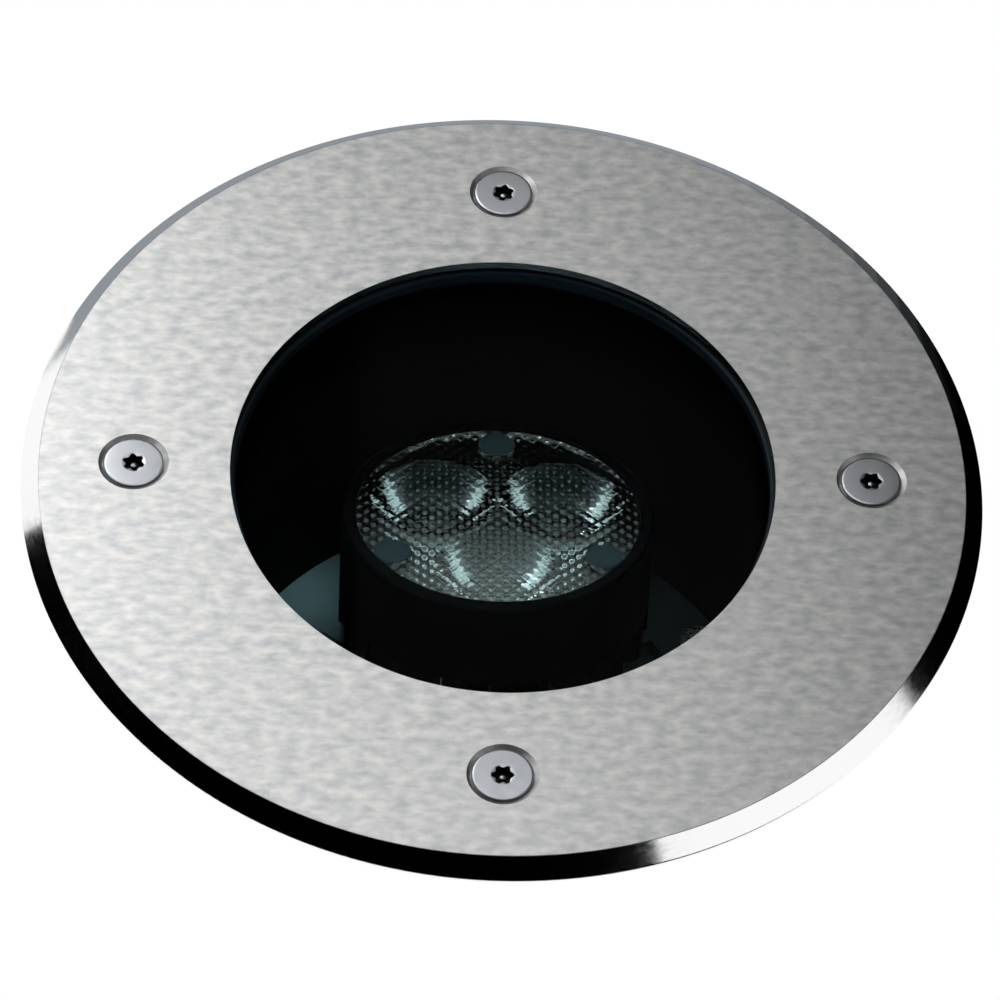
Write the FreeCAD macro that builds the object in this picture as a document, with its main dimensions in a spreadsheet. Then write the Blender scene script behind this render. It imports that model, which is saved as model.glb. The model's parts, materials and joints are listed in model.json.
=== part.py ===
import FreeCAD, Part
import Sketcher
import os
import re

# In ground well light, in millimetres.
# The origin is on the light's axis in the ground plane, which is the underside of the trim ring.
# +Z is up.
# The lamp is drawn upright about its tilt axis and then leaned to the photographed pose.
# The tilt axis runs along X, and the lamp leans towards +Y.

SIZES = {
    # trim ring and window
    "window_diameter": 85.0,
    "ring_thickness": 3.0,
    "ring_cover": 7.5,
    "ring_bevel_width": 2.8,
    "ring_bevel_height": 2.2,
    "screw_hole": 5.5,
    "countersink": 11.0,
    "gasket_recess": 1.0,
    # trim screws, M5 with a countersunk head
    "screw_head": 9.3,
    "screw_shank": 4.9,
    "screw_engage": 7.5,
    "socket_diameter": 4.2,
    "socket_depth": 1.6,
    "socket_pin": 1.3,
    "socket_pin_drop": 0.5,
    "screw_tip": 0.8,
    # glass and its U-section gasket
    "glass_lap": 4.5,
    "glass_thickness": 8.0,
    "glass_bevel": 0.6,
    "gasket_lip": 2.2,
    "gasket_overhang": 0.8,
    "gasket_side": 2.0,
    "gasket_floor": 1.2,
    "seat_play": 0.2,
    # housing pot and flange
    "seat_width": 3.2,
    "housing_wall": 3.5,
    "housing_base": 4.0,
    "housing_draft": 1.0,
    "housing_foot_bevel": 4.0,
    "seat_floor": 3.0,
    "collar_wall": 2.5,
    "flange_margin": 6.0,
    "flange_plate": 5.0,
    "rib_thickness": 2.0,
    "rib_height": 2.5,
    "rib_foot": 20.0,
    "post_setback": 5.0,
    "post_diameter": 10.4,
    "post_pilot": 2.5,
    "post_pilot_depth": 10.0,
    "earth_boss_place": 28.0,
    "earth_boss_diameter": 10.0,
    "earth_boss_rise": 6.0,
    # ground sleeve
    "flange_play": 1.0,
    "sleeve_wall": 3.0,
    "sleeve_collar": 30.0,
    "sleeve_step": 1.5,
    "sleeve_shoulder": 4.3,
    "sleeve_rib": 2.5,
    "anchor_ring_depth": 62.0,
    "anchor_ring_height": 3.0,
    "anchor_ring_pitch": 24.0,
    "sleeve_lap": 4.0,
    "cable_space": 32.0,
    "base_foot": 3.0,
    "base_foot_width": 3.0,
    "column_wall": 2.0,
    "column_play": 0.3,
    "column_length": 20.0,
    "column_web": 6.0,
    "column_well": 14.0,
    "hub_bore": 25.1,
    "hub_wall": 3.45,
    "hub_ledge": 1.55,
    "hub_stop": 2.5,
    "hub_inset": 7.0,
    "hub_clear": 6.0,
    "hub_rise": 2.0,
    "insert_diameter": 7.0,
    "insert_length": 10.0,
    "flange_gasket_thickness": 1.0,
    # partition plate and what hangs under it
    "partition_thickness": 2.0,
    "partition_play": 0.3,
    "partition_boss": 14.0,
    "partition_boss_depth": 7.0,
    "driver_room": 10.1,
    "driver_length": 50.0,
    "driver_width": 26.0,
    "driver_height": 16.0,
    "driver_gap": 2.0,
    "driver_ear": 8.0,
    "driver_ear_thickness": 2.0,
    "driver_corner": 2.0,
    "terminal_length": 22.0,
    "terminal_width": 16.0,
    "terminal_height": 14.0,
    "terminal_gap": 5.0,
    "terminal_well": 4.6,
    "terminal_well_depth": 8.0,
    "terminal_pitch": 12.0,
    "terminal_wire_hole": 4.0,
    "grommet_hole": 9.0,
    "grommet_groove": 1.5,
    "grommet_bore": 5.0,
    "grommet_lip": 1.4,
    # small M3 and M4 screws
    "small_shank": 3.0,
    "small_head": 5.5,
    "small_head_height": 2.0,
    "small_length": 8.0,
    "earth_shank": 4.0,
    "earth_head": 7.5,
    "earth_head_height": 3.0,
    "earth_engage": 5.0,
    # cable gland, M16
    "gland_thread": 16.0,
    "gland_flats": 20.0,
    "gland_collar": 5.0,
    "gland_seat_ring": 1.0,
    "gland_locknut_height": 5.0,
    "gland_bore": 9.0,
    "gland_barrel": 15.0,
    "gland_barrel_length": 9.0,
    "gland_nut_height": 15.0,
    "gland_nut_hexagon": 7.5,
    "gland_dome_middle": 18.1,
    "gland_dome_tip": 12.9,
    "gland_nut_gap": 0.5,
    "gland_mouth": 8.4,
    "gland_seal_bore": 7.0,
    "gland_seal_length": 8.0,
    "gland_seal_diameter": 11.0,
    # pan pivot and turntable
    "pan_shank": 6.0,
    "pan_thread": 5.0,
    "pan_head": 10.0,
    "pan_head_height": 3.5,
    "pan_key": 4.0,
    "pan_key_depth": 2.0,
    "pan_washer_diameter": 18.0,
    "pan_washer_thickness": 1.0,
    "spring_washer_diameter": 11.6,
    "spring_washer_thickness": 0.8,
    "running_fit": 0.05,
    "turning_gap": 0.3,
    "turntable_play": 1.25,
    "turntable_thickness": 2.0,
    "slot_margin": 3.5,
    "slot_width": 7.0,
    "slot_angle": 70.0,
    # yoke and tilt pivot
    "lamp_headroom": 6.7,
    "lug_clearance": 0.7,
    "yoke_base_thickness": 2.5,
    "yoke_arm_thickness": 2.5,
    "foot_margin": 5.0,
    "yoke_arm_width": 22.0,
    "yoke_tip_radius": 8.0,
    "yoke_screw_pitch": 32.0,
    "yoke_shank": 4.0,
    "yoke_head": 7.0,
    "yoke_head_height": 2.2,
    "tilt_shank": 5.0,
    "tilt_head": 8.0,
    "tilt_head_height": 3.5,
    "tilt_nut_height": 4.5,
    "tilt_bolt_end": 1.5,
    "tilt_washer_diameter": 13.0,
    "tilt_washer_thickness": 1.0,
    "tilt_rest": 15.0,
    # lamp
    "lug_width": 14.0,
    "lug_radius": 7.0,
    "lug_foot_low": 6.0,
    "lug_foot_thickness": 4.0,
    "lug_screw_pitch": 30.0,
    "lamp_diameter": 50.0,
    "lamp_fin_height": 8.5,
    "lamp_fin_thickness": 1.6,
    "lamp_fin_bevel": 1.5,
    "lamp_core": 20.0,
    "lamp_deck": 2.6,
    "lamp_cup_wall": 1.4,
    "lamp_screw_boss": 7.0,
    "pad_thickness": 0.3,
    "pad_margin": 2.0,
    "board_play": 1.6,
    "board_thickness": 1.6,
    "board_screw_circle": 22.0,
    "emitter_side": 3.5,
    "emitter_height": 0.9,
    "emitter_dome": 2.6,
    "emitter_dome_height": 0.87,
    "cell_margin": 1.38,
    "cell_gap": 0.24,
    "cell_bottom": 8.4,
    "cell_cup": 6.0,
    "cell_cup_depth": 3.0,
    "optic_height": 10.0,
    "optic_plate": 2.0,
    "optic_play": 0.2,
    "optic_post": 6.0,
    "optic_post_margin": 1.05,
    "bezel_height": 3.4,
    "bezel_lip": 0.6,
    "bezel_reach": 0.8,
    "bezel_edge": 0.4,
}

# numbers of repeated features
SCREWS = 4
HOUSING_RIBS = 12
POSTS = 3
SLEEVE_RIBS = 12
ANCHOR_RINGS = 2
HUBS = 2
SLOTS = 2
LAMP_FINS = 20
CELLS = 3
YOKE_ARMS = 2
YOKE_SCREWS = 2
LUG_SCREWS = 2

FULL_TURN = 360
CONE_ANGLE = 90  # of a countersunk head
OVERLAP = 1.0  # how far a drawn rib or web runs into the wall that carries it

doc = FreeCAD.newDocument("well_light")
sheet = doc.addObject("Spreadsheet::Sheet", "dims")
for row, (alias, size) in enumerate(SIZES.items(), start=1):
    sheet.set("A%d" % row, alias.replace("_", " "))
    sheet.set("B%d" % row, str(size))
    sheet.setAlias("B%d" % row, alias)
sheet.set("A%d" % (len(SIZES) + 1), "rib overlap")
sheet.set("B%d" % (len(SIZES) + 1), str(OVERLAP))
sheet.setAlias("B%d" % (len(SIZES) + 1), "overlap")
doc.recompute()

# Heights above the ground plane, as expressions of the sizes. Those from LAMP_BOTTOM to CUP_TOP run
# along the lamp's own axis from its tilt axis.
GLASS_TOP = "(gasket_recess - gasket_lip)"
GLASS_UNDER = "(%s - glass_thickness)" % GLASS_TOP
SEAT = "(%s - gasket_floor)" % GLASS_UNDER
COLLAR_UNDER = "(%s - seat_floor)" % SEAT
FLANGE_UNDER = "(-flange_plate)"
SHOULDER = "(%s - flange_gasket_thickness)" % FLANGE_UNDER
LAMP_BOTTOM = "(lug_foot_low + lug_foot_thickness)"
DECK_TOP = "(%s + lamp_fin_height + lamp_deck)" % LAMP_BOTTOM
BOARD_UNDER = "(%s + pad_thickness)" % DECK_TOP
BOARD_TOP = "(%s + board_thickness)" % BOARD_UNDER
OPTIC_TOP = "(%s + optic_height)" % BOARD_TOP
OPTIC_PLATE_UNDER = "(%s - optic_plate)" % OPTIC_TOP
BEZEL_TOP = "(%s + bezel_lip)" % OPTIC_TOP
CUP_TOP = "(%s - bezel_height)" % BEZEL_TOP
LEANED_TOP = "(%s * cos(tilt_rest * 1 deg) + lamp_diameter / 2 * sin(tilt_rest * 1 deg))" % BEZEL_TOP
PIVOT = "(%s - lamp_headroom - %s)" % (GLASS_UNDER, LEANED_TOP)
PAN_HEAD_TOP = "(%s - lug_radius - lug_clearance)" % PIVOT
PAN_HEAD_UNDER = "(%s - pan_head_height)" % PAN_HEAD_TOP
SPRING_UNDER = "(%s - spring_washer_thickness)" % PAN_HEAD_UNDER
YOKE_TOP = "(%s - turning_gap)" % SPRING_UNDER
TABLE_TOP = "(%s - yoke_base_thickness)" % YOKE_TOP
TABLE_UNDER = "(%s - turntable_thickness)" % TABLE_TOP
PAN_WASHER_TOP = "(%s - turning_gap)" % TABLE_UNDER
PARTITION_TOP = "(%s - pan_washer_thickness)" % PAN_WASHER_TOP
PARTITION_UNDER = "(%s - partition_thickness)" % PARTITION_TOP
HOUSING_FLOOR = "(%s - driver_height - driver_room)" % PARTITION_UNDER
HOUSING_UNDER = "(%s - housing_base)" % HOUSING_FLOOR
FOOT_TOP = "(%s - cable_space)" % HOUSING_UNDER
BASE_UNDER = "(%s - base_foot)" % FOOT_TOP
HUB_OUTER = "(hub_bore + 2 * hub_wall)"
HUB_AXIS = "(%s + %s / 2 + hub_clear)" % (FOOT_TOP, HUB_OUTER)
SLEEVE_UNDER = "(%s + %s / 2 + hub_rise)" % (HUB_AXIS, HUB_OUTER)
LAP_TOP = "(%s + sleeve_lap)" % SLEEVE_UNDER

# Radii.
WINDOW = "(window_diameter / 2)"
GLASS = "(%s + glass_lap)" % WINDOW
GASKET = "(%s + gasket_side)" % GLASS
SEAT_WALL = "(%s + seat_play)" % GASKET
HOUSING_INNER = "(%s - seat_width)" % SEAT_WALL
HOUSING_OUTER = "(%s + housing_wall)" % HOUSING_INNER
COLLAR = "(%s + collar_wall)" % SEAT_WALL
COLUMN = "(insert_diameter + 2 * column_wall)"
SCREW_PLACE = "(%s + column_play + %s / 2)" % (COLLAR, COLUMN)
FLANGE = "(%s + flange_margin)" % SCREW_PLACE
SLEEVE_INNER = "(%s + flange_play)" % FLANGE
SLEEVE = "(%s + sleeve_wall)" % SLEEVE_INNER
RING = "(%s + ring_cover)" % SLEEVE
INSERT_BORE = "(screw_shank + 2 * running_fit)"
SLEEVE_LOWER = "(%s - sleeve_step)" % SLEEVE
SLEEVE_LOWER_INNER = "(%s - sleeve_wall)" % SLEEVE_LOWER
SLEEVE_MIDDLE = "(%s - sleeve_wall / 2)" % SLEEVE_LOWER
SHOULDER_INNER = "(%s - sleeve_shoulder)" % SLEEVE_INNER

LAMP = "(lamp_diameter / 2)"
LAMP_CUP = "(%s - lamp_cup_wall)" % LAMP
OPTIC = "(%s - optic_play)" % LAMP_CUP
OPTIC_POST_PLACE = "(%s - optic_post / 2 - optic_post_margin)" % OPTIC
# Three round cells side by side: their centres stand on CELL_CIRCLE, and CELL_TOP is their diameter.
CELL_CIRCLE = "(2 * (%s - cell_margin) / (1 + sin(60 deg)))" % OPTIC
CELL_TOP = "(%s * sin(60 deg) - cell_gap)" % CELL_CIRCLE
BOARD = "(%s - board_play)" % LAMP_CUP

# Places of the parts that hang from or turn on the partition.
POST_PLACE = "(%s - post_setback)" % HOUSING_INNER
TURNTABLE = "(%s - small_head / 2 - turntable_play)" % POST_PLACE
SLOT_PLACE = "(%s - slot_margin - slot_width / 2)" % TURNTABLE
DRIVER_PLACE = "(-partition_boss / 2 - driver_gap - driver_width / 2)"
DRIVER_EAR = "(driver_length / 2 + driver_ear / 2)"
TERMINAL_PLACE = "(partition_boss / 2 + terminal_gap + terminal_width / 2)"

# Places across the tilt axis.
ARM_INNER = "(lug_width / 2 + turning_gap + tilt_washer_thickness)"
ARM_OUTER = "(%s + yoke_arm_thickness)" % ARM_INNER


def bound(text):
    """The expression with every size's name pointed at the sheet."""
    def point(word):
        name = word.group()
        return "dims." + name if name in SIZES or name == "overlap" else name
    return re.sub(r"[a-z_]+", point, text)


def body_for(label):
    body = doc.addObject("PartDesign::Body", label + "_body")
    body.Label = label
    body.AllowCompound = True
    return body


def origin(body, role):
    return next(item for item in body.Origin.OriginFeatures if item.Role == role)


def sketch_on(body, role, along="0", across="0", lift="0"):
    """A sketch on one of the body's planes, shifted in the plane and along its normal."""
    sketch = body.newObject("Sketcher::SketchObject", "sketch")
    sketch.AttachmentSupport = (origin(body, role), [""])
    sketch.MapMode = "FlatFace"
    for axis, text in (("x", along), ("y", across), ("z", lift)):
        if text != "0":
            sketch.setExpression("AttachmentOffset.Base." + axis, bound(text))
    return sketch


def fix_point(sketch, shape, point, across, up):
    """Hold a point at its two distances from the sketch's own origin."""
    for kind, text, axis in (("DistanceX", across, -2), ("DistanceY", up, -1)):
        if text == "0":
            sketch.addConstraint(Sketcher.Constraint("PointOnObject", shape, point, axis))
            continue
        place = sketch.getPoint(shape, point)
        start = place.x if kind == "DistanceX" else place.y
        number = sketch.addConstraint(Sketcher.Constraint(kind, -1, 1, shape, point, start))
        sketch.setExpression("Constraints[%d]" % number, bound(text))


def outline(sketch, corners):
    """A closed outline of straight edges through corners given as pairs of expressions."""
    first = sketch.GeometryCount
    count = len(corners)
    rough = [FreeCAD.Vector(step + 1, step * step + 1, 0) for step in range(count)]
    for step in range(count):
        sketch.addGeometry(Part.LineSegment(rough[step], rough[(step + 1) % count]), False)
    for step in range(count):
        after = first + (step + 1) % count
        sketch.addConstraint(Sketcher.Constraint("Coincident", first + step, 2, after, 1))
    for step, (across, up) in enumerate(corners):
        fix_point(sketch, first + step, 1, across, up)


def box_outline(sketch, low_x, high_x, low_y, high_y):
    outline(sketch, [(low_x, low_y), (high_x, low_y), (high_x, high_y), (low_x, high_y)])


def round_outline(sketch, diameter, across="0", up="0"):
    shape = sketch.addGeometry(Part.Circle(FreeCAD.Vector(1, 1, 0), FreeCAD.Vector(0, 0, 1), 1), False)
    number = sketch.addConstraint(Sketcher.Constraint("Diameter", shape, 2))
    sketch.setExpression("Constraints[%d]" % number, bound(diameter))
    fix_point(sketch, shape, 3, across, up)


def hexagon(sketch, flats):
    """A hexagon about the sketch's origin, given its width across flats."""
    half = "(%s / 2)" % flats
    corner = "(%s / 2 / cos(30 deg))" % flats
    near = "(%s * sin(30 deg))" % corner
    low = "(-%s)" % half
    outline(sketch, [(corner, "0"), (near, half), ("(-%s)" % near, half),
                     ("(-%s)" % corner, "0"), ("(-%s)" % near, low), (near, low)])


def feature(body, kind, sketch, **settings):
    made = body.newObject("PartDesign::" + kind, kind.lower())
    made.Profile = sketch
    for name, setting in settings.items():
        if isinstance(setting, str):
            made.setExpression(name, bound(setting))
        else:
            setattr(made, name, setting)
    return made


def pad(body, sketch, length, reverse=False, both=False):
    made = feature(body, "Pad", sketch, Length=length, Reversed=reverse)
    if both:
        made.SideType = "Symmetric"
    return made


def cut(body, sketch, length, reverse=False, both=False):
    made = feature(body, "Pocket", sketch, Length=length, Reversed=reverse)
    if both:
        made.SideType = "Symmetric"
    return made


def turn(body, sketch, kind="Revolution"):
    made = feature(body, kind, sketch)
    made.ReferenceAxis = (sketch, ["V_Axis"])
    made.Angle = FULL_TURN
    return made


def around(body, originals, count, axis="Z_Axis"):
    """Copies of features spread evenly round one of the body's axes."""
    made = body.newObject("PartDesign::PolarPattern", "pattern")
    made.Originals = originals
    made.Axis = (origin(body, axis), [""])
    made.Angle = FULL_TURN
    made.Occurrences = count
    body.Tip = made
    return made


def lathe(body, corners, place="0"):
    """A turned solid: corners are radius and height, about an upright axis at X = place."""
    sketch = sketch_on(body, "XZ_Plane", along=place)
    outline(sketch, corners)
    return turn(body, sketch)


def washer(body, inner, outer, low, high):
    return lathe(body, [(inner, low), (outer, low), (outer, high), (inner, high)])


def lamp_pose(body):
    """Lean a body about the tilt axis to the photographed pose."""
    body.Placement.Rotation = FreeCAD.Rotation(FreeCAD.Vector(-1, 0, 0), 0)
    body.setExpression("Placement.Base.z", bound(PIVOT))
    body.setExpression("Placement.Rotation.Angle", bound("tilt_rest"))


def trim_ring():
    body = body_for("trim_ring")
    lathe(body, [(WINDOW, "ring_thickness"),
                 ("(%s - ring_bevel_width)" % RING, "ring_thickness"),
                 (RING, "(ring_thickness - ring_bevel_height)"),
                 (RING, "0"),
                 (SEAT_WALL, "0"),
                 (SEAT_WALL, "gasket_recess"),
                 (WINDOW, "gasket_recess")])
    sketch = sketch_on(body, "XY_Plane", lift="ring_thickness")
    round_outline(sketch, "screw_hole", SCREW_PLACE)
    doc.recompute()
    hole = body.newObject("PartDesign::Hole", "screw_hole")
    hole.Profile = sketch
    hole.Threaded = False
    hole.DepthType = "ThroughAll"
    hole.setExpression("Diameter", bound("screw_hole"))
    hole.HoleCutType = "Countersink"
    hole.HoleCutCustomValues = True
    hole.setExpression("HoleCutDiameter", bound("countersink"))
    hole.HoleCutCountersinkAngle = CONE_ANGLE
    doc.recompute()
    around(body, [hole], SCREWS)
    return body


def trim_screws():
    """Countersunk screws that seat on the ring's cones, with a pin in the socket."""
    body = body_for("trim_screws")
    top = "(ring_thickness - (countersink - screw_head) / 2)"
    tip = "(%s - screw_engage)" % SHOULDER
    shank = "(screw_shank / 2)"
    lathe(body, [("0", "(%s - socket_pin_drop)" % top),
                 ("(socket_pin / 2)", "(%s - socket_pin_drop)" % top),
                 ("(socket_pin / 2)", "(%s - socket_depth)" % top),
                 ("(socket_diameter / 2)", "(%s - socket_depth)" % top),
                 ("(socket_diameter / 2)", top),
                 ("(screw_head / 2)", top),
                 (shank, "(%s - (screw_head - screw_shank) / 2)" % top),
                 (shank, "(%s + screw_tip)" % tip),
                 ("(%s - screw_tip)" % shank, tip),
                 ("0", tip)], place=SCREW_PLACE)
    around(body, [body.Tip], SCREWS)
    return body


def window_glass():
    body = body_for("window_glass")
    face = "(%s - glass_bevel)" % GLASS
    lathe(body, [("0", GLASS_TOP), (face, GLASS_TOP),
                 (GLASS, "(%s - glass_bevel)" % GLASS_TOP),
                 (GLASS, "(%s + glass_bevel)" % GLASS_UNDER),
                 (face, GLASS_UNDER), ("0", GLASS_UNDER)])
    return body


def window_gasket():
    """U-section ring round the edge of the glass, with its upper lip just inside the window."""
    body = body_for("window_gasket")
    lip = "(%s - gasket_overhang)" % WINDOW
    sill = "(%s + seat_play)" % HOUSING_INNER
    lathe(body, [(lip, "gasket_recess"), (GASKET, "gasket_recess"), (GASKET, SEAT), (sill, SEAT),
                 (sill, GLASS_UNDER), (GLASS, GLASS_UNDER), (GLASS, GLASS_TOP), (lip, GLASS_TOP)])
    return body


def housing():
    """Cast pot: flange, glass seat, low cooling ribs and inner posts."""
    body = body_for("housing")
    foot = "(%s - housing_draft)" % HOUSING_OUTER
    lathe(body, [("0", HOUSING_FLOOR), (HOUSING_INNER, HOUSING_FLOOR), (HOUSING_INNER, SEAT),
                 (SEAT_WALL, SEAT), (SEAT_WALL, "0"), (FLANGE, "0"), (FLANGE, FLANGE_UNDER),
                 (COLLAR, FLANGE_UNDER), (COLLAR, COLLAR_UNDER), (HOUSING_OUTER, COLLAR_UNDER),
                 (foot, "(%s + housing_foot_bevel)" % HOUSING_UNDER),
                 ("(%s - housing_foot_bevel)" % foot, HOUSING_UNDER), ("0", HOUSING_UNDER)])

    sketch = sketch_on(body, "XZ_Plane")
    root = "(%s - housing_draft - overlap)" % HOUSING_OUTER
    edge = "(%s + rib_height)" % HOUSING_OUTER
    top = "(%s + overlap)" % COLLAR_UNDER
    rib_end = "(%s + rib_foot)" % HOUSING_UNDER
    outline(sketch, [(root, top), (edge, top), (edge, rib_end), (root, "(%s - rib_height)" % rib_end)])
    rib = pad(body, sketch, "rib_thickness", both=True)
    around(body, [rib], HOUSING_RIBS)

    sketch = sketch_on(body, "XY_Plane", lift=HOUSING_FLOOR)
    round_outline(sketch, "post_diameter", up="(-%s)" % POST_PLACE)
    post = pad(body, sketch, "(driver_height + driver_room)")
    around(body, [post], POSTS)
    sketch = sketch_on(body, "XY_Plane", lift=HOUSING_FLOOR)
    round_outline(sketch, "earth_boss_diameter", "(-earth_boss_place)")
    pad(body, sketch, "earth_boss_rise")

    sketch = sketch_on(body, "XY_Plane", lift=PARTITION_UNDER)
    round_outline(sketch, "post_pilot", up="(-%s)" % POST_PLACE)
    pilot = cut(body, sketch, "post_pilot_depth")
    around(body, [pilot], POSTS)
    sketch = sketch_on(body, "XY_Plane")
    round_outline(sketch, "screw_hole", SCREW_PLACE)
    hole = cut(body, sketch, "(-%s)" % FLANGE_UNDER)
    around(body, [hole], SCREWS)
    sketch = sketch_on(body, "XY_Plane", lift=HOUSING_FLOOR)
    round_outline(sketch, "(gland_thread + 2 * running_fit)")
    cut(body, sketch, "housing_base")
    sketch = sketch_on(body, "XY_Plane", lift="(%s + earth_boss_rise)" % HOUSING_FLOOR)
    round_outline(sketch, "earth_shank", "(-earth_boss_place)")
    cut(body, sketch, "earth_engage")
    return body


def ground_sleeve():
    """Moulded sleeve: collar, shoulder for the flange, screw columns, ribs and anchor rings."""
    body = body_for("ground_sleeve")
    ledge = "(%s - sleeve_wall)" % SHOULDER
    lathe(body, [(SLEEVE_INNER, "0"), (SLEEVE, "0"),
                 (SLEEVE, "(-sleeve_collar)"), (SLEEVE_LOWER, "(-sleeve_collar - sleeve_step)"),
                 (SLEEVE_LOWER, SLEEVE_UNDER), (SLEEVE_MIDDLE, SLEEVE_UNDER),
                 (SLEEVE_MIDDLE, LAP_TOP), (SLEEVE_LOWER_INNER, LAP_TOP),
                 (SLEEVE_LOWER_INNER, "(%s - sleeve_shoulder)" % ledge),
                 (SHOULDER_INNER, ledge), (SHOULDER_INNER, SHOULDER), (SLEEVE_INNER, SHOULDER)])

    sketch = sketch_on(body, "XY_Plane", lift=SHOULDER)
    round_outline(sketch, COLUMN, SCREW_PLACE)
    column = pad(body, sketch, "column_length", reverse=True)
    sketch = sketch_on(body, "XY_Plane", lift=SHOULDER)
    box_outline(sketch, SCREW_PLACE, "(%s + overlap)" % SLEEVE_LOWER_INNER,
                "(-column_web / 2)", "(column_web / 2)")
    web = pad(body, sketch, "column_length", reverse=True)
    around(body, [column, web], SCREWS)

    sketch = sketch_on(body, "XZ_Plane")
    box_outline(sketch, "(%s - overlap)" % SLEEVE_LOWER, SLEEVE, SLEEVE_UNDER, "(-sleeve_collar)")
    rib = pad(body, sketch, "sleeve_rib", both=True)
    around(body, [rib], SLEEVE_RIBS)

    sketch = sketch_on(body, "XZ_Plane")
    box_outline(sketch, "(%s - overlap)" % SLEEVE_LOWER, SLEEVE,
                "(-anchor_ring_depth - anchor_ring_height)", "(-anchor_ring_depth)")
    ring = turn(body, sketch)
    rings = body.newObject("PartDesign::LinearPattern", "anchor_rings")
    rings.Originals = [ring]
    rings.Direction = (origin(body, "Z_Axis"), [""])
    rings.Reversed = True
    rings.Mode = "Spacing"
    rings.setExpression("Offset", bound("anchor_ring_pitch"))
    rings.Occurrences = ANCHOR_RINGS
    body.Tip = rings

    sketch = sketch_on(body, "XY_Plane", lift=SHOULDER)
    round_outline(sketch, "insert_diameter", SCREW_PLACE)
    well = cut(body, sketch, "column_well")
    around(body, [well], SCREWS)
    return body


def sleeve_base():
    """Lower section of the sleeve, lapped into it: conduit hubs on both sides, open below."""
    body = body_for("sleeve_base")
    foot = "(%s - base_foot_width)" % SLEEVE_LOWER_INNER
    lathe(body, [(SLEEVE_LOWER_INNER, LAP_TOP), (SLEEVE_MIDDLE, LAP_TOP), (SLEEVE_MIDDLE, SLEEVE_UNDER),
                 (SLEEVE_LOWER, SLEEVE_UNDER), (SLEEVE_LOWER, FOOT_TOP), (SLEEVE, FOOT_TOP),
                 (SLEEVE, BASE_UNDER), (foot, BASE_UNDER), (foot, FOOT_TOP),
                 (SLEEVE_LOWER_INNER, FOOT_TOP)])

    hub_start = "(%s - hub_inset)" % SLEEVE_LOWER_INNER
    hub_end = "(%s + hub_bore / 2)" % SLEEVE
    hub_half = "(%s / 2 + overlap)" % HUB_OUTER
    past_hub = "(%s + %s / 2)" % (hub_end, HUB_OUTER)
    sketch = sketch_on(body, "YZ_Plane", lift=hub_start)
    round_outline(sketch, HUB_OUTER, up=HUB_AXIS)
    hub = pad(body, sketch, "(%s - %s)" % (hub_end, hub_start))
    around(body, [hub], HUBS)
    sketch = sketch_on(body, "XZ_Plane")
    box_outline(sketch, SLEEVE, past_hub, "(%s - %s)" % (HUB_AXIS, hub_half),
                "(%s + %s)" % (HUB_AXIS, hub_half))
    turn(body, sketch, "Groove")
    sketch = sketch_on(body, "YZ_Plane", lift=hub_end)
    round_outline(sketch, "hub_bore", up=HUB_AXIS)
    bore = cut(body, sketch, "(%s - %s - hub_stop)" % (hub_end, hub_start))
    sketch = sketch_on(body, "YZ_Plane", lift=hub_end)
    round_outline(sketch, "(hub_bore - 2 * hub_ledge)", up=HUB_AXIS)
    through = cut(body, sketch, "(%s - %s + overlap)" % (hub_end, hub_start))
    around(body, [bore, through], HUBS)
    return body


def flange_gasket():
    body = body_for("flange_gasket")
    washer(body, "(%s + seat_play)" % SHOULDER_INNER, FLANGE, SHOULDER, FLANGE_UNDER)
    return body


def insert_nuts():
    body = body_for("insert_nuts")
    low = "(%s - insert_length)" % SHOULDER
    bore = "(%s / 2)" % INSERT_BORE
    lathe(body, [(bore, low), ("(insert_diameter / 2)", low),
                 ("(insert_diameter / 2)", SHOULDER), (bore, SHOULDER)], place=SCREW_PLACE)
    around(body, [body.Tip], SCREWS)
    return body


def partition_plate():
    """Plate that closes the driver bay and carries the pan bolt in a central boss."""
    body = body_for("partition_plate")
    rim = "(%s - partition_play)" % HOUSING_INNER
    boss = "(%s - partition_boss_depth)" % PARTITION_UNDER
    bore = "(pan_thread / 2 + running_fit)"
    lathe(body, [(bore, PARTITION_TOP), (rim, PARTITION_TOP), (rim, PARTITION_UNDER),
                 ("(partition_boss / 2)", PARTITION_UNDER), ("(partition_boss / 2)", boss), (bore, boss)])
    sketch = sketch_on(body, "XY_Plane", lift=PARTITION_TOP)
    round_outline(sketch, "small_shank", up="(-%s)" % POST_PLACE)
    hole = cut(body, sketch, "partition_thickness")
    around(body, [hole], POSTS)
    sketch = sketch_on(body, "XY_Plane", lift=PARTITION_TOP)
    round_outline(sketch, "small_shank", DRIVER_EAR, DRIVER_PLACE)
    round_outline(sketch, "small_shank", "(-%s)" % DRIVER_EAR, DRIVER_PLACE)
    round_outline(sketch, "small_shank", up=TERMINAL_PLACE)
    round_outline(sketch, "grommet_hole", SLOT_PLACE)
    cut(body, sketch, "partition_thickness")
    return body


def small_screw(body, seat, shank_end, upward, across, along):
    """One small screw at a place in plan: its head stands off the seat, its shank runs the other way."""
    sketch = sketch_on(body, "XY_Plane", lift=seat)
    round_outline(sketch, "small_head", across, along)
    head = pad(body, sketch, "small_head_height", reverse=not upward)
    sketch = sketch_on(body, "XY_Plane", lift=seat)
    round_outline(sketch, "small_shank", across, along)
    length = "(%s - %s)" % ((seat, shank_end) if upward else (shank_end, seat))
    shank = pad(body, sketch, length, reverse=upward)
    return [head, shank]


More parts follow.
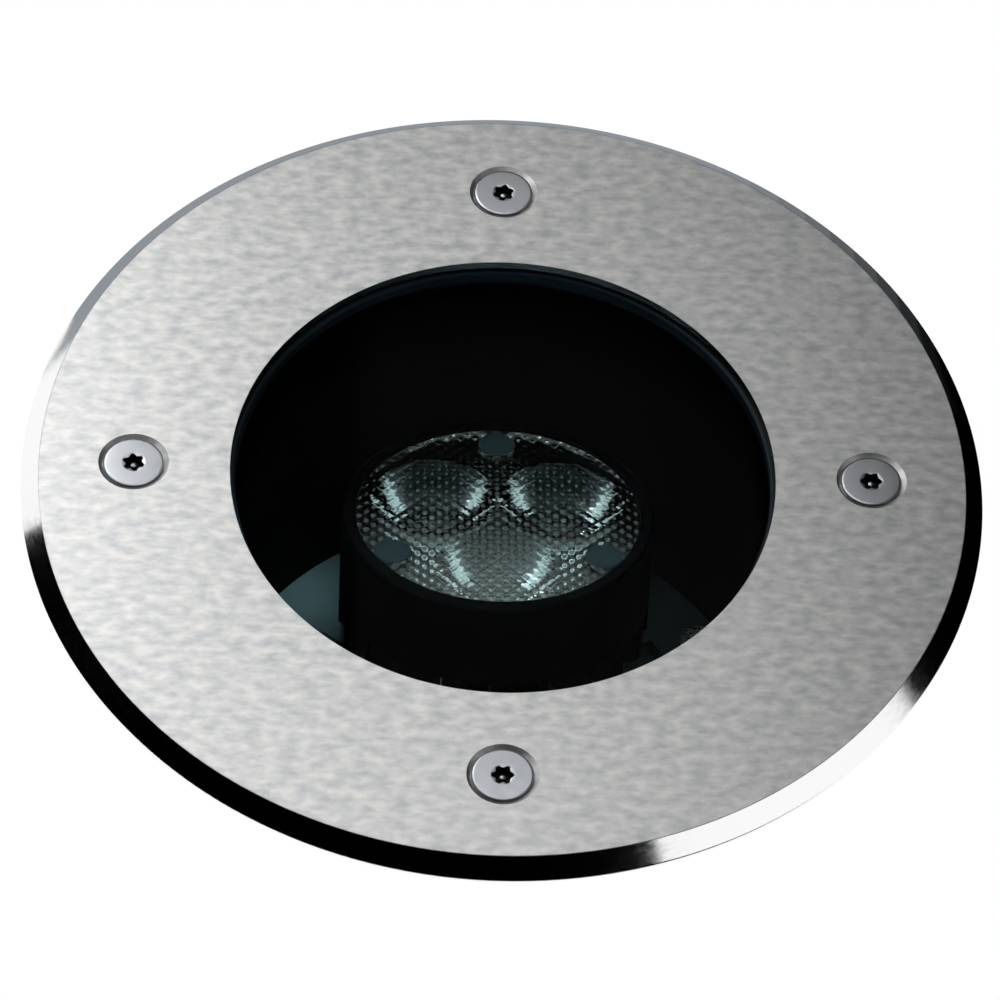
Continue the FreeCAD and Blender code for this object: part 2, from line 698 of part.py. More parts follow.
def partition_screws():
    """Screws that cut their own thread in the posts."""
    body = body_for("partition_screws")
    place = "(-%s)" % POST_PLACE
    sketch = sketch_on(body, "XY_Plane", lift=PARTITION_TOP)
    round_outline(sketch, "small_head", up=place)
    head = pad(body, sketch, "small_head_height")
    sketch = sketch_on(body, "XY_Plane", lift=PARTITION_TOP)
    round_outline(sketch, "post_pilot", up=place)
    shank = pad(body, sketch, "small_length", reverse=True)
    around(body, [head, shank], POSTS)
    return body


def wire_grommet():
    body = body_for("wire_grommet")
    hole = "(grommet_hole / 2)"
    lip = "(%s + grommet_groove)" % hole
    sketch = sketch_on(body, "XZ_Plane")
    outline(sketch, [("(grommet_bore / 2)", "(%s - grommet_lip)" % PARTITION_UNDER),
                     (lip, "(%s - grommet_lip)" % PARTITION_UNDER), (lip, PARTITION_UNDER),
                     (hole, PARTITION_UNDER), (hole, PARTITION_TOP),
                     ("(grommet_bore / 2)", PARTITION_TOP)])
    turn(body, sketch)
    body.setExpression("Placement.Base.x", bound(SLOT_PLACE))
    return body


def led_driver():
    """Potted driver that hangs under the partition on two ears."""
    body = body_for("led_driver")
    half = "(driver_length / 2)"
    low = "(%s - driver_width / 2)" % DRIVER_PLACE
    high = "(%s + driver_width / 2)" % DRIVER_PLACE
    sketch = sketch_on(body, "XY_Plane", lift=PARTITION_UNDER)
    box_outline(sketch, "(-%s)" % half, half, low, high)
    block = pad(body, sketch, "driver_height", reverse=True)
    doc.recompute()
    upright = [index for index, edge in enumerate(block.Shape.Edges, start=1)
               if abs(edge.tangentAt(edge.FirstParameter).z) > 0.99]
    rounded = body.newObject("PartDesign::Fillet", "corners")
    rounded.Base = (block, ["Edge%d" % index for index in upright])
    rounded.setExpression("Radius", bound("driver_corner"))
    sketch = sketch_on(body, "XY_Plane", lift=PARTITION_UNDER)
    reach = "(%s + driver_ear)" % half
    box_outline(sketch, "(-%s)" % reach, reach, "(%s - driver_ear / 2)" % DRIVER_PLACE,
                "(%s + driver_ear / 2)" % DRIVER_PLACE)
    pad(body, sketch, "driver_ear_thickness", reverse=True)
    sketch = sketch_on(body, "XY_Plane", lift=PARTITION_UNDER)
    round_outline(sketch, "small_shank", DRIVER_EAR, DRIVER_PLACE)
    round_outline(sketch, "small_shank", "(-%s)" % DRIVER_EAR, DRIVER_PLACE)
    cut(body, sketch, "driver_ear_thickness")
    return body


def driver_screws():
    body = body_for("driver_screws")
    seat = "(%s - driver_ear_thickness)" % PARTITION_UNDER
    for across in (DRIVER_EAR, "(-%s)" % DRIVER_EAR):
        small_screw(body, seat, PARTITION_TOP, False, across, DRIVER_PLACE)
    return body


def terminal_block():
    """Two-pole block under the partition, with screw wells below and wire holes through its sides."""
    body = body_for("terminal_block")
    half = "(terminal_length / 2)"
    low = "(%s - terminal_width / 2)" % TERMINAL_PLACE
    high = "(%s + terminal_width / 2)" % TERMINAL_PLACE
    sketch = sketch_on(body, "XY_Plane", lift=PARTITION_UNDER)
    box_outline(sketch, "(-%s)" % half, half, low, high)
    pad(body, sketch, "terminal_height", reverse=True)
    sketch = sketch_on(body, "XY_Plane", lift="(%s - terminal_height)" % PARTITION_UNDER)
    round_outline(sketch, "terminal_well", "(terminal_pitch / 2)", TERMINAL_PLACE)
    round_outline(sketch, "terminal_well", "(-terminal_pitch / 2)", TERMINAL_PLACE)
    cut(body, sketch, "terminal_well_depth", reverse=True)
    sketch = sketch_on(body, "XY_Plane", lift=PARTITION_UNDER)
    round_outline(sketch, "small_shank", up=TERMINAL_PLACE)
    cut(body, sketch, "terminal_height")
    sketch = sketch_on(body, "XZ_Plane", lift="(-%s)" % high)
    level = "(%s - terminal_height + terminal_well_depth - terminal_wire_hole)" % PARTITION_UNDER
    round_outline(sketch, "terminal_wire_hole", "(terminal_pitch / 2)", level)
    round_outline(sketch, "terminal_wire_hole", "(-terminal_pitch / 2)", level)
    cut(body, sketch, "terminal_width", reverse=True)
    return body


def terminal_screw():
    body = body_for("terminal_screw")
    seat = "(%s - terminal_height)" % PARTITION_UNDER
    small_screw(body, seat, PARTITION_TOP, False, "0", TERMINAL_PLACE)
    return body


def earth_screw():
    body = body_for("earth_screw")
    seat = "(%s + earth_boss_rise)" % HOUSING_FLOOR
    sketch = sketch_on(body, "XY_Plane", lift=seat)
    round_outline(sketch, "earth_head", "(-earth_boss_place)")
    pad(body, sketch, "earth_head_height")
    sketch = sketch_on(body, "XY_Plane", lift=seat)
    round_outline(sketch, "earth_shank", "(-earth_boss_place)")
    pad(body, sketch, "earth_engage", reverse=True)
    return body


GLAND_COLLAR_TOP = "(%s - gland_seat_ring)" % HOUSING_UNDER
GLAND_COLLAR_UNDER = "(%s - gland_collar)" % GLAND_COLLAR_TOP
GLAND_BARREL_UNDER = "(%s - gland_barrel_length)" % GLAND_COLLAR_UNDER
GLAND_SEAL_UNDER = "(%s - gland_nut_gap)" % GLAND_BARREL_UNDER
GLAND_SEAL_TOP = "(%s + gland_seal_length)" % GLAND_SEAL_UNDER
GLAND_NUT_TOP = "(%s - gland_nut_gap)" % GLAND_COLLAR_UNDER
GLAND_NUT_UNDER = "(%s - gland_nut_height)" % GLAND_NUT_TOP


def gland_body():
    """Threaded body through the floor, hexagon collar and the barrel that holds the seal."""
    body = body_for("gland_body")
    sketch = sketch_on(body, "XY_Plane", lift=GLAND_COLLAR_UNDER)
    hexagon(sketch, "gland_flats")
    pad(body, sketch, "gland_collar")
    top = "(%s + gland_locknut_height)" % HOUSING_FLOOR
    thread = "(gland_thread / 2)"
    barrel = "(gland_barrel / 2)"
    lathe(body, [("0", GLAND_BARREL_UNDER), (barrel, GLAND_BARREL_UNDER), (barrel, GLAND_COLLAR_UNDER),
                 (thread, GLAND_COLLAR_TOP), (thread, top), ("0", top)])
    sketch = sketch_on(body, "XY_Plane", lift=top)
    round_outline(sketch, "gland_bore")
    cut(body, sketch, "(%s - %s)" % (top, GLAND_BARREL_UNDER))
    sketch = sketch_on(body, "XY_Plane", lift=GLAND_BARREL_UNDER)
    round_outline(sketch, "gland_seal_diameter")
    cut(body, sketch, "(gland_seal_length - gland_nut_gap)", reverse=True)
    return body


def gland_locknut():
    body = body_for("gland_locknut")
    sketch = sketch_on(body, "XY_Plane", lift=HOUSING_FLOOR)
    hexagon(sketch, "gland_flats")
    round_outline(sketch, "gland_thread")
    pad(body, sketch, "gland_locknut_height")
    return body


def gland_seat_ring():
    body = body_for("gland_seat_ring")
    washer(body, "(gland_thread / 2)", "(gland_flats / 2)", GLAND_COLLAR_TOP, HOUSING_UNDER)
    return body


def gland_seal():
    body = body_for("gland_seal")
    washer(body, "(gland_seal_bore / 2)", "(gland_seal_diameter / 2)", GLAND_SEAL_UNDER, GLAND_SEAL_TOP)
    return body


def gland_nut():
    """Hexagon nut with a domed end that presses on the seal."""
    body = body_for("gland_nut")
    sketch = sketch_on(body, "XY_Plane", lift=GLAND_NUT_TOP)
    hexagon(sketch, "gland_flats")
    pad(body, sketch, "gland_nut_hexagon", reverse=True)
    dome = "(%s - gland_nut_hexagon)" % GLAND_NUT_TOP
    lathe(body, [("0", dome), ("(gland_flats / 2)", dome),
                 ("(gland_dome_middle / 2)", "((%s + %s) / 2)" % (dome, GLAND_NUT_UNDER)),
                 ("(gland_dome_tip / 2)", GLAND_NUT_UNDER), ("0", GLAND_NUT_UNDER)])
    sketch = sketch_on(body, "XY_Plane", lift=GLAND_NUT_TOP)
    round_outline(sketch, "gland_barrel")
    cut(body, sketch, "(%s - %s)" % (GLAND_NUT_TOP, GLAND_SEAL_UNDER))
    sketch = sketch_on(body, "XY_Plane", lift=GLAND_SEAL_UNDER)
    round_outline(sketch, "gland_mouth")
    cut(body, sketch, "(%s - %s)" % (GLAND_SEAL_UNDER, GLAND_NUT_UNDER))
    return body


def pan_bolt():
    """Shoulder bolt that the turntable turns on."""
    body = body_for("pan_bolt")
    shank = "(pan_shank / 2)"
    thread = "(pan_thread / 2)"
    boss = "(%s - partition_boss_depth)" % PARTITION_UNDER
    sketch = sketch_on(body, "XY_Plane", lift=PAN_HEAD_UNDER)
    round_outline(sketch, "pan_head")
    pad(body, sketch, "pan_head_height")
    lathe(body, [("0", PAN_HEAD_UNDER), (shank, PAN_HEAD_UNDER), (shank, PARTITION_TOP),
                 (thread, PARTITION_TOP), (thread, boss), ("0", boss)])
    sketch = sketch_on(body, "XY_Plane", lift=PAN_HEAD_TOP)
    hexagon(sketch, "pan_key")
    cut(body, sketch, "pan_key_depth")
    return body


def pan_washer():
    body = body_for("pan_washer")
    washer(body, "(pan_shank / 2 + running_fit)", "(pan_washer_diameter / 2)", PARTITION_TOP, PAN_WASHER_TOP)
    return body


def pan_spring_washer():
    body = body_for("pan_spring_washer")
    washer(body, "(pan_shank / 2 + running_fit)", "(spring_washer_diameter / 2)", SPRING_UNDER,
           PAN_HEAD_UNDER)
    return body


def turntable():
    """Disc that turns on the pan bolt, with two curved slots for the lamp's leads."""
    body = body_for("turntable")
    bore = "(pan_shank / 2 + running_fit)"
    washer(body, bore, TURNTABLE, TABLE_UNDER, TABLE_TOP)
    sketch = sketch_on(body, "XZ_Plane")
    box_outline(sketch, "(%s - slot_width / 2)" % SLOT_PLACE, "(%s + slot_width / 2)" % SLOT_PLACE,
                "(%s - overlap)" % TABLE_UNDER, "(%s + overlap)" % TABLE_TOP)
    slot = feature(body, "Groove", sketch)
    slot.ReferenceAxis = (sketch, ["V_Axis"])
    slot.setExpression("Angle", bound("slot_angle"))
    slot.Midplane = True
    around(body, [slot], SLOTS)
    sketch = sketch_on(body, "XY_Plane", lift=TABLE_TOP)
    round_outline(sketch, "yoke_shank", up="(yoke_screw_pitch / 2)")
    round_outline(sketch, "yoke_shank", up="(-yoke_screw_pitch / 2)")
    cut(body, sketch, "turntable_thickness")
    return body


def yoke():
    """Folded bracket: a foot on the turntable and two arms with rounded tips at the tilt axis."""
    body = body_for("yoke")
    sketch = sketch_on(body, "XY_Plane", lift=TABLE_TOP)
    half = "(yoke_screw_pitch / 2 + foot_margin)"
    box_outline(sketch, "(-%s)" % ARM_OUTER, ARM_OUTER, "(-%s)" % half, half)
    pad(body, sketch, "yoke_base_thickness")
    sketch = sketch_on(body, "YZ_Plane", lift=ARM_INNER)
    wide = "(yoke_arm_width / 2)"
    outline(sketch, [("(-%s)" % wide, TABLE_TOP), (wide, TABLE_TOP), ("yoke_tip_radius", PIVOT),
                     ("(-yoke_tip_radius)", PIVOT)])
    arm = pad(body, sketch, "yoke_arm_thickness")
    sketch = sketch_on(body, "YZ_Plane", lift=ARM_INNER)
    round_outline(sketch, "(2 * yoke_tip_radius)", up=PIVOT)
    tip = pad(body, sketch, "yoke_arm_thickness")
    around(body, [arm, tip], YOKE_ARMS)
    sketch = sketch_on(body, "YZ_Plane")
    round_outline(sketch, "tilt_shank", up=PIVOT)
    cut(body, sketch, "(2 * %s + 2 * overlap)" % ARM_OUTER, both=True)
    sketch = sketch_on(body, "XY_Plane", lift=YOKE_TOP)
    round_outline(sketch, "(pan_shank + 2 * running_fit)")
    round_outline(sketch, "yoke_shank", up="(yoke_screw_pitch / 2)")
    round_outline(sketch, "yoke_shank", up="(-yoke_screw_pitch / 2)")
    cut(body, sketch, "yoke_base_thickness")
    return body


def yoke_screws():
    body = body_for("yoke_screws")
    place = "(yoke_screw_pitch / 2)"
    sketch = sketch_on(body, "XY_Plane", lift=YOKE_TOP)
    round_outline(sketch, "yoke_head", up=place)
    head = pad(body, sketch, "yoke_head_height")
    sketch = sketch_on(body, "XY_Plane", lift=YOKE_TOP)
    round_outline(sketch, "yoke_shank", up=place)
    shank = pad(body, sketch, "(yoke_base_thickness + turntable_thickness)", reverse=True)
    around(body, [head, shank], YOKE_SCREWS)
    return body


def tilt_bolt():
    """Bolt through both yoke arms; its hexagon head bears on the +X arm."""
    body = body_for("tilt_bolt")
    sketch = sketch_on(body, "YZ_Plane", across=PIVOT, lift=ARM_OUTER)
    hexagon(sketch, "tilt_head")
    pad(body, sketch, "tilt_head_height")
    sketch = sketch_on(body, "YZ_Plane", across=PIVOT, lift=ARM_OUTER)
    round_outline(sketch, "tilt_shank")
    pad(body, sketch, "(2 * %s + tilt_nut_height + tilt_bolt_end)" % ARM_OUTER, reverse=True)
    return body


def tilt_nut():
    body = body_for("tilt_nut")
    sketch = sketch_on(body, "YZ_Plane", across=PIVOT, lift="(-%s)" % ARM_OUTER)
    hexagon(sketch, "tilt_head")
    round_outline(sketch, "tilt_shank")
    pad(body, sketch, "tilt_nut_height", reverse=True)
    return body


def tilt_washers():
    """Friction washers on the inner faces of the two arms."""
    body = body_for("tilt_washers")
    sketch = sketch_on(body, "YZ_Plane", across=PIVOT, lift=ARM_INNER)
    round_outline(sketch, "tilt_washer_diameter")
    round_outline(sketch, "tilt_shank")
    one = pad(body, sketch, "tilt_washer_thickness", reverse=True)
    around(body, [one], YOKE_ARMS)
    return body


def tilt_lug():
    """Inverted T under the lamp: a rounded eye on the tilt bolt and a foot along the heat sink."""
    body = body_for("tilt_lug")
    half = "(lug_screw_pitch / 2 + foot_margin)"
    sketch = sketch_on(body, "YZ_Plane")
    outline(sketch, [("(-lug_radius)", "0"), ("lug_radius", "0"), ("lug_radius", "lug_foot_low"),
                     (half, "lug_foot_low"), (half, LAMP_BOTTOM), ("(-%s)" % half, LAMP_BOTTOM),
                     ("(-%s)" % half, "lug_foot_low"), ("(-lug_radius)", "lug_foot_low")])
    pad(body, sketch, "lug_width", both=True)
    sketch = sketch_on(body, "YZ_Plane")
    round_outline(sketch, "(2 * lug_radius)")
    pad(body, sketch, "lug_width", both=True)
    sketch = sketch_on(body, "YZ_Plane")
    round_outline(sketch, "(tilt_shank + 2 * running_fit)")
    cut(body, sketch, "(lug_width + 2 * overlap)", both=True)
    sketch = sketch_on(body, "XY_Plane", lift=LAMP_BOTTOM)
    round_outline(sketch, "small_shank", up="(lug_screw_pitch / 2)")
    round_outline(sketch, "small_shank", up="(-lug_screw_pitch / 2)")
    cut(body, sketch, "lug_foot_thickness")
    lamp_pose(body)
    return body


def lug_screws():
    body = body_for("lug_screws")
    made = small_screw(body, "lug_foot_low", "(lug_foot_low + small_length)", False, "0",
                       "(lug_screw_pitch / 2)")
    around(body, made, LUG_SCREWS)
    lamp_pose(body)
    return body


def heat_sink():
    """Star of radial fins under a round deck, with the cup that holds the board and the lens."""
    body = body_for("heat_sink")
    fin_top = "(%s + lamp_fin_height)" % LAMP_BOTTOM
    core = "(lamp_core / 2)"
    lathe(body, [("0", LAMP_BOTTOM), (core, LAMP_BOTTOM), (core, fin_top), (LAMP, fin_top),
                 (LAMP, CUP_TOP), (LAMP_CUP, CUP_TOP), (LAMP_CUP, DECK_TOP), ("0", DECK_TOP)])
    sketch = sketch_on(body, "XZ_Plane")
    outline(sketch, [("(%s - overlap)" % core, LAMP_BOTTOM),
                     ("(%s - lamp_fin_bevel)" % LAMP, LAMP_BOTTOM),
                     (LAMP, "(%s + lamp_fin_bevel)" % LAMP_BOTTOM), (LAMP, "(%s + overlap)" % fin_top),
                     ("(%s - overlap)" % core, "(%s + overlap)" % fin_top)])
    fin = pad(body, sketch, "lamp_fin_thickness", both=True)
    around(body, [fin], LAMP_FINS)
    sketch = sketch_on(body, "XY_Plane", lift=LAMP_BOTTOM)
    round_outline(sketch, "lamp_screw_boss", up="(lug_screw_pitch / 2)")
    round_outline(sketch, "lamp_screw_boss", up="(-lug_screw_pitch / 2)")
    pad(body, sketch, "lamp_fin_height")
    sketch = sketch_on(body, "XY_Plane", lift=LAMP_BOTTOM)
    depth = "(small_length - lug_foot_thickness)"
    round_outline(sketch, "small_shank", up="(lug_screw_pitch / 2)")
    round_outline(sketch, "small_shank", up="(-lug_screw_pitch / 2)")
    cut(body, sketch, depth, reverse=True)
    sketch = sketch_on(body, "XY_Plane", lift=DECK_TOP)
    round_outline(sketch, "small_shank", up="(board_screw_circle / 2)")
    hole = cut(body, sketch, "lamp_deck")
    around(body, [hole], CELLS)
    lamp_pose(body)
    return body


def drilled_disc(label, diameter, low, thickness):
    """A disc on the lamp's axis with the three board screw holes."""
    body = body_for(label)
    sketch = sketch_on(body, "XY_Plane", lift=low)
    round_outline(sketch, diameter)
    pad(body, sketch, thickness)
    sketch = sketch_on(body, "XY_Plane", lift="(%s + %s)" % (low, thickness))
    round_outline(sketch, "small_shank", up="(board_screw_circle / 2)")
    hole = cut(body, sketch, thickness)
    around(body, [hole], CELLS)
    lamp_pose(body)
    return body


def board_screws():
    body = body_for("board_screws")
    end = "(%s - lamp_deck)" % DECK_TOP
    made = small_screw(body, BOARD_TOP, end, True, "0", "(board_screw_circle / 2)")
    around(body, made, CELLS)
    lamp_pose(body)
    return body


def led_emitters():
    """Square packages with a small dome, one under each cell."""
    body = body_for("led_emitters")
    place = "(-%s / 2)" % CELL_CIRCLE
    half = "(emitter_side / 2)"
    sketch = sketch_on(body, "XY_Plane", lift=BOARD_TOP)
    box_outline(sketch, "(-%s)" % half, half, "(%s - %s)" % (place, half), "(%s + %s)" % (place, half))
    package = pad(body, sketch, "emitter_height")
    sketch = sketch_on(body, "XY_Plane", lift="(%s + emitter_height)" % BOARD_TOP)
    round_outline(sketch, "emitter_dome", up=place)
    dome = pad(body, sketch, "emitter_dome_height")
    around(body, [package, dome], CELLS)
    lamp_pose(body)
    return body


def triple_lens():
    """Round plate over three conical cells, with three posts that stand on the board."""
    body = body_for("triple_lens")
    sketch = sketch_on(body, "XY_Plane", lift=OPTIC_TOP)
    round_outline(sketch, "(2 * %s)" % OPTIC)
    pad(body, sketch, "optic_plate", reverse=True)
    low = "(%s + emitter_height)" % BOARD_TOP
    roof = "(%s + cell_cup_depth)" % low
    edge = "(%s / 2)" % CELL_TOP
    sketch = sketch_on(body, "YZ_Plane", along="(-%s / 2)" % CELL_CIRCLE)
    outline(sketch, [("0", roof), ("(cell_cup / 2)", roof), ("(cell_cup / 2)", low),
                     ("(cell_bottom / 2)", low), (edge, OPTIC_PLATE_UNDER),
                     (edge, "(%s + overlap)" % OPTIC_PLATE_UNDER),
                     ("0", "(%s + overlap)" % OPTIC_PLATE_UNDER)])
    cell = turn(body, sketch)
    around(body, [cell], CELLS)
    sketch = sketch_on(body, "XY_Plane", lift=BOARD_TOP)
    round_outline(sketch, "optic_post", up=OPTIC_POST_PLACE)
    post = pad(body, sketch, "optic_height")
    around(body, [post], CELLS)
    lamp_pose(body)
    return body


def lens_bezel():
    """Ring on the cup's rim, with a lip over the edge of the lens."""
    body = body_for("lens_bezel")
    lip = "(%s - bezel_reach)" % LAMP_CUP
    lathe(body, [(LAMP_CUP, CUP_TOP), (LAMP, CUP_TOP), (LAMP, "(%s - bezel_edge)" % BEZEL_TOP),
                 ("(%s - bezel_edge)" % LAMP, BEZEL_TOP), (lip, BEZEL_TOP), (lip, OPTIC_TOP),
                 (LAMP_CUP, OPTIC_TOP)])
    lamp_pose(body)
    return body


PARTS = [
    trim_ring(), trim_screws(), window_glass(), window_gasket(),
    housing(), ground_sleeve(), sleeve_base(), flange_gasket(), insert_nuts(),
    partition_plate(), partition_screws(), wire_grommet(),
    led_driver(), driver_screws(), terminal_block(), terminal_screw(), earth_screw(),
    gland_body(), gland_locknut(), gland_seat_ring(), gland_seal(), gland_nut(),
    pan_bolt(), pan_washer(), pan_spring_washer(),
    turntable(), yoke(), yoke_screws(), tilt_bolt(), tilt_nut(), tilt_washers(),
    tilt_lug(), lug_screws(), heat_sink(),
    drilled_disc("thermal_pad", "(2 * (%s - pad_margin))" % BOARD, DECK_TOP, "pad_thickness"),
    drilled_disc("led_board", "(2 * %s)" % BOARD, BOARD_UNDER, "board_thickness"),
    board_screws(), led_emitters(), triple_lens(), lens_bezel(),
]

doc.recompute()
for item in doc.Objects:
    if "Invalid" in item.State or "Error" in item.State:
        raise RuntimeError("%s in %s failed" % (item.Name, item.Label))
for body in PARTS:
    if body.Shape.isNull() or not body.Shape.isValid():
        raise RuntimeError("%s has no valid solid" % body.Label)

os.makedirs("parts", exist_ok=True)
for body in PARTS:
    body.Shape.exportStep("parts/%s.step" % body.Label)
    print("%-20s %2d solids %10.1f mm3" % (body.Label, len(body.Shape.Solids), body.Shape.Volume))
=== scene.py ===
# %% [markdown]
# # In-ground well light
# This light is let into paving, so from above only its steel ring, four screws and a round window
# show. Under the window a small lamp leans to one side in a black pot, and a moulded sleeve holds
# the pot in the ground. The frame below brings in every solid at its real size. The script keeps
# most of them, gives each a finish, and models again the few that the eye goes to: the ring, its
# screws, the lens and the seal round the window.

# %% The frame
import json
import math
import bpy
from mathutils import Matrix, Vector


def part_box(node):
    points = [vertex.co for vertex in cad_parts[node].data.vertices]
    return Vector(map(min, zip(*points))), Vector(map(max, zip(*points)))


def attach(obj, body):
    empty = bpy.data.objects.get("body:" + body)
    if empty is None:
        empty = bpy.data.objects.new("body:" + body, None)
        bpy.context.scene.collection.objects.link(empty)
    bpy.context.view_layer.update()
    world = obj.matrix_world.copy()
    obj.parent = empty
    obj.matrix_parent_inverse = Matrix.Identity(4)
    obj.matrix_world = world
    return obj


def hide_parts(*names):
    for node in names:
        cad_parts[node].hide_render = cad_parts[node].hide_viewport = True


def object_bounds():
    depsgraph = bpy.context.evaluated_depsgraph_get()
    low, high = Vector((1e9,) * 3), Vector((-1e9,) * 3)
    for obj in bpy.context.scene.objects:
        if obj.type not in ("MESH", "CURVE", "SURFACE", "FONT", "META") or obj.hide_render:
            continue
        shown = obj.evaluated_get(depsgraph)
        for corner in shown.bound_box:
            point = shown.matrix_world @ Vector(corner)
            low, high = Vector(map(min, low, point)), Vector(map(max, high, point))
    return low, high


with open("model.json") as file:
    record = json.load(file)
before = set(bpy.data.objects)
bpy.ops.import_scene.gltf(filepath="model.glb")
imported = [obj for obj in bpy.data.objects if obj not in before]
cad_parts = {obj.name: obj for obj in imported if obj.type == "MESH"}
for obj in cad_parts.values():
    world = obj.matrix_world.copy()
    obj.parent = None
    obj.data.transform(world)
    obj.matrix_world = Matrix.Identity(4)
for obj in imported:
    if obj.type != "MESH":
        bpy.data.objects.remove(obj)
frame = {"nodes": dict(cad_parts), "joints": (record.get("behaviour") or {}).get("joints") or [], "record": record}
cad_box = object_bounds()
nodes = frame["nodes"]
MM = 0.001
print("the frame holds", len(nodes), "nodes in the box", [round(v, 4) for corner in cad_box for v in corner])

# %% [markdown]
# ## The camera
# The photograph is taken from the front with a long lens, about 52 degrees above the paving. A
# camera is easiest to place by the direction it looks back along: from the ring's centre, go back
# by the distance, then turn it by the small roll that the photograph has. The lens is given in
# millimetres on a 36 mm sensor, and the small shift puts the ring where the photograph has it.

# %% The camera
ELEVATION = math.radians(51.837)
AZIMUTH = math.radians(-2.910)
ROLL = math.radians(-3.761)
DISTANCE = 0.8635
FOCAL_PIXELS = 5545.6
PHOTO = 1000.0
RING_CENTRE_PIXEL = (503.41, 471.01)
SENSOR = 36.0

ring_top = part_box("trim_ring")[1].z
back = Vector((math.sin(AZIMUTH) * math.cos(ELEVATION), -math.cos(AZIMUTH) * math.cos(ELEVATION),
               math.sin(ELEVATION)))
level = Vector((math.cos(AZIMUTH), math.sin(AZIMUTH), 0))
upward = back.cross(level)
right = level * math.cos(ROLL) - upward * math.sin(ROLL)
up = level * math.sin(ROLL) + upward * math.cos(ROLL)

camera_data = bpy.data.cameras.new("camera")
camera_data.sensor_width = SENSOR
camera_data.lens = FOCAL_PIXELS / PHOTO * SENSOR
camera_data.shift_x = (PHOTO / 2 - RING_CENTRE_PIXEL[0]) / PHOTO
camera_data.shift_y = (RING_CENTRE_PIXEL[1] - PHOTO / 2) / PHOTO
camera = bpy.data.objects.new("camera", camera_data)
bpy.context.scene.collection.objects.link(camera)
turned = Matrix((right, up, back)).transposed().to_4x4()
camera.matrix_world = Matrix.Translation(back * DISTANCE + Vector((0, 0, ring_top))) @ turned
bpy.context.scene.camera = camera
bpy.context.scene.view_settings.view_transform = "Standard"
print("camera lens", round(camera_data.lens, 1), "mm")

# %% [markdown]
# ## Finishes
# Every finish starts from one Principled shader, and noise makes it less even: it drives the
# roughness, a fine bump and, on some pieces, the colour. The noise reads object coordinates, so
# its grain has a real size in metres wherever the piece is. A brushed finish is the same noise
# stretched along one axis.


# %% A plain finish and its grain
def finish(name, colour, metallic=0.0, roughness=0.5, **sockets):
    """A Principled material with constant values set on its own sockets."""
    material = bpy.data.materials.new(name)
    material.use_nodes = True
    shader = material.node_tree.nodes["Principled BSDF"]
    shader.inputs["Base Color"].default_value = (*colour, 1)
    shader.inputs["Metallic"].default_value = metallic
    shader.inputs["Roughness"].default_value = roughness
    for socket, value in sockets.items():
        shader.inputs[socket.replace("_", " ")].default_value = value
    return material


def noise(material, grain, detail=3.0):
    """Noise whose grain has this size in metres along X, Y and Z."""
    tree = material.node_tree
    place = tree.nodes.new("ShaderNodeTexCoord")
    mapping = tree.nodes.new("ShaderNodeMapping")
    mapping.inputs["Scale"].default_value = [1 / size for size in grain]
    texture = tree.nodes.new("ShaderNodeTexNoise")
    texture.inputs["Scale"].default_value = 1.0
    texture.inputs["Detail"].default_value = detail
    tree.links.new(place.outputs["Object"], mapping.inputs["Vector"])
    tree.links.new(mapping.outputs["Vector"], texture.inputs["Vector"])
    return texture.outputs["Fac"]


def spread(material, source, low, high, start=0.3, end=0.7):
    """The noise laid out between two values."""
    ramp = material.node_tree.nodes.new("ShaderNodeMapRange")
    for socket, value in (("From Min", start), ("From Max", end), ("To Min", low), ("To Max", high)):
        ramp.inputs[socket].default_value = value
    material.node_tree.links.new(source, ramp.inputs["Value"])
    return ramp.outputs["Result"]


def drive(material, socket, source):
    """Let the source set this socket of the Principled shader."""
    shader = material.node_tree.nodes["Principled BSDF"]
    material.node_tree.links.new(source, shader.inputs[socket])


def bump(material, source, depth):
    """A bump of this depth in metres."""
    node = material.node_tree.nodes.new("ShaderNodeBump")
    node.inputs["Distance"].default_value = depth
    material.node_tree.links.new(source, node.inputs["Height"])
    drive(material, "Normal", node.outputs["Normal"])


def tint(material, source, first, second):
    """A colour that goes from the first to the second with the noise."""
    mix = material.node_tree.nodes.new("ShaderNodeMix")
    mix.data_type = "RGBA"
    mix.inputs["A"].default_value = (*first, 1)
    mix.inputs["B"].default_value = (*second, 1)
    material.node_tree.links.new(source, mix.inputs["Factor"])
    drive(material, "Base Color", mix.outputs["Result"])


# %% [markdown]
# ## Steel of the ring
# The ring's face is brushed along X, so soft streaks run that way. Single scratches are too fine to
# see from here, so a stretched noise that changes colour and roughness a little is enough. The bevel
# is polished and mirrors the room. The bore was turned on a lathe, so its grain lies in thin rings, and
# its steel is given a dark colour, painted shade for the dim wall of the hole. The screws' heads are
# satin, and the depth of their sockets gets almost no light, so its walls and floor are given a
# near-black colour, painted shade.

# %% Steel of the ring
face_steel = finish("brushed_face", (0.72, 0.72, 0.72), metallic=1.0, roughness=0.42)
streaks = noise(face_steel, (2.8 * MM, 1.6 * MM, 1.0 * MM), detail=3.0)
drive(face_steel, "Roughness", spread(face_steel, streaks, 0.40, 0.44))
DARK_STREAK, LIGHT_STREAK = (0.555, 0.578, 0.592), (0.885, 0.872, 0.848)
tint(face_steel, spread(face_steel, streaks, 0.0, 1.0), DARK_STREAK, LIGHT_STREAK)
bump(face_steel, noise(face_steel, (2.0 * MM, 0.4 * MM, 1.0 * MM), detail=2.0), 0.002 * MM)

bevel_steel = finish("polished_bevel", (0.95, 0.95, 0.95), metallic=1.0, roughness=0.10)
fine = noise(bevel_steel, (1.5 * MM, 1.5 * MM, 0.3 * MM))
drive(bevel_steel, "Roughness", spread(bevel_steel, fine, 0.07, 0.12))
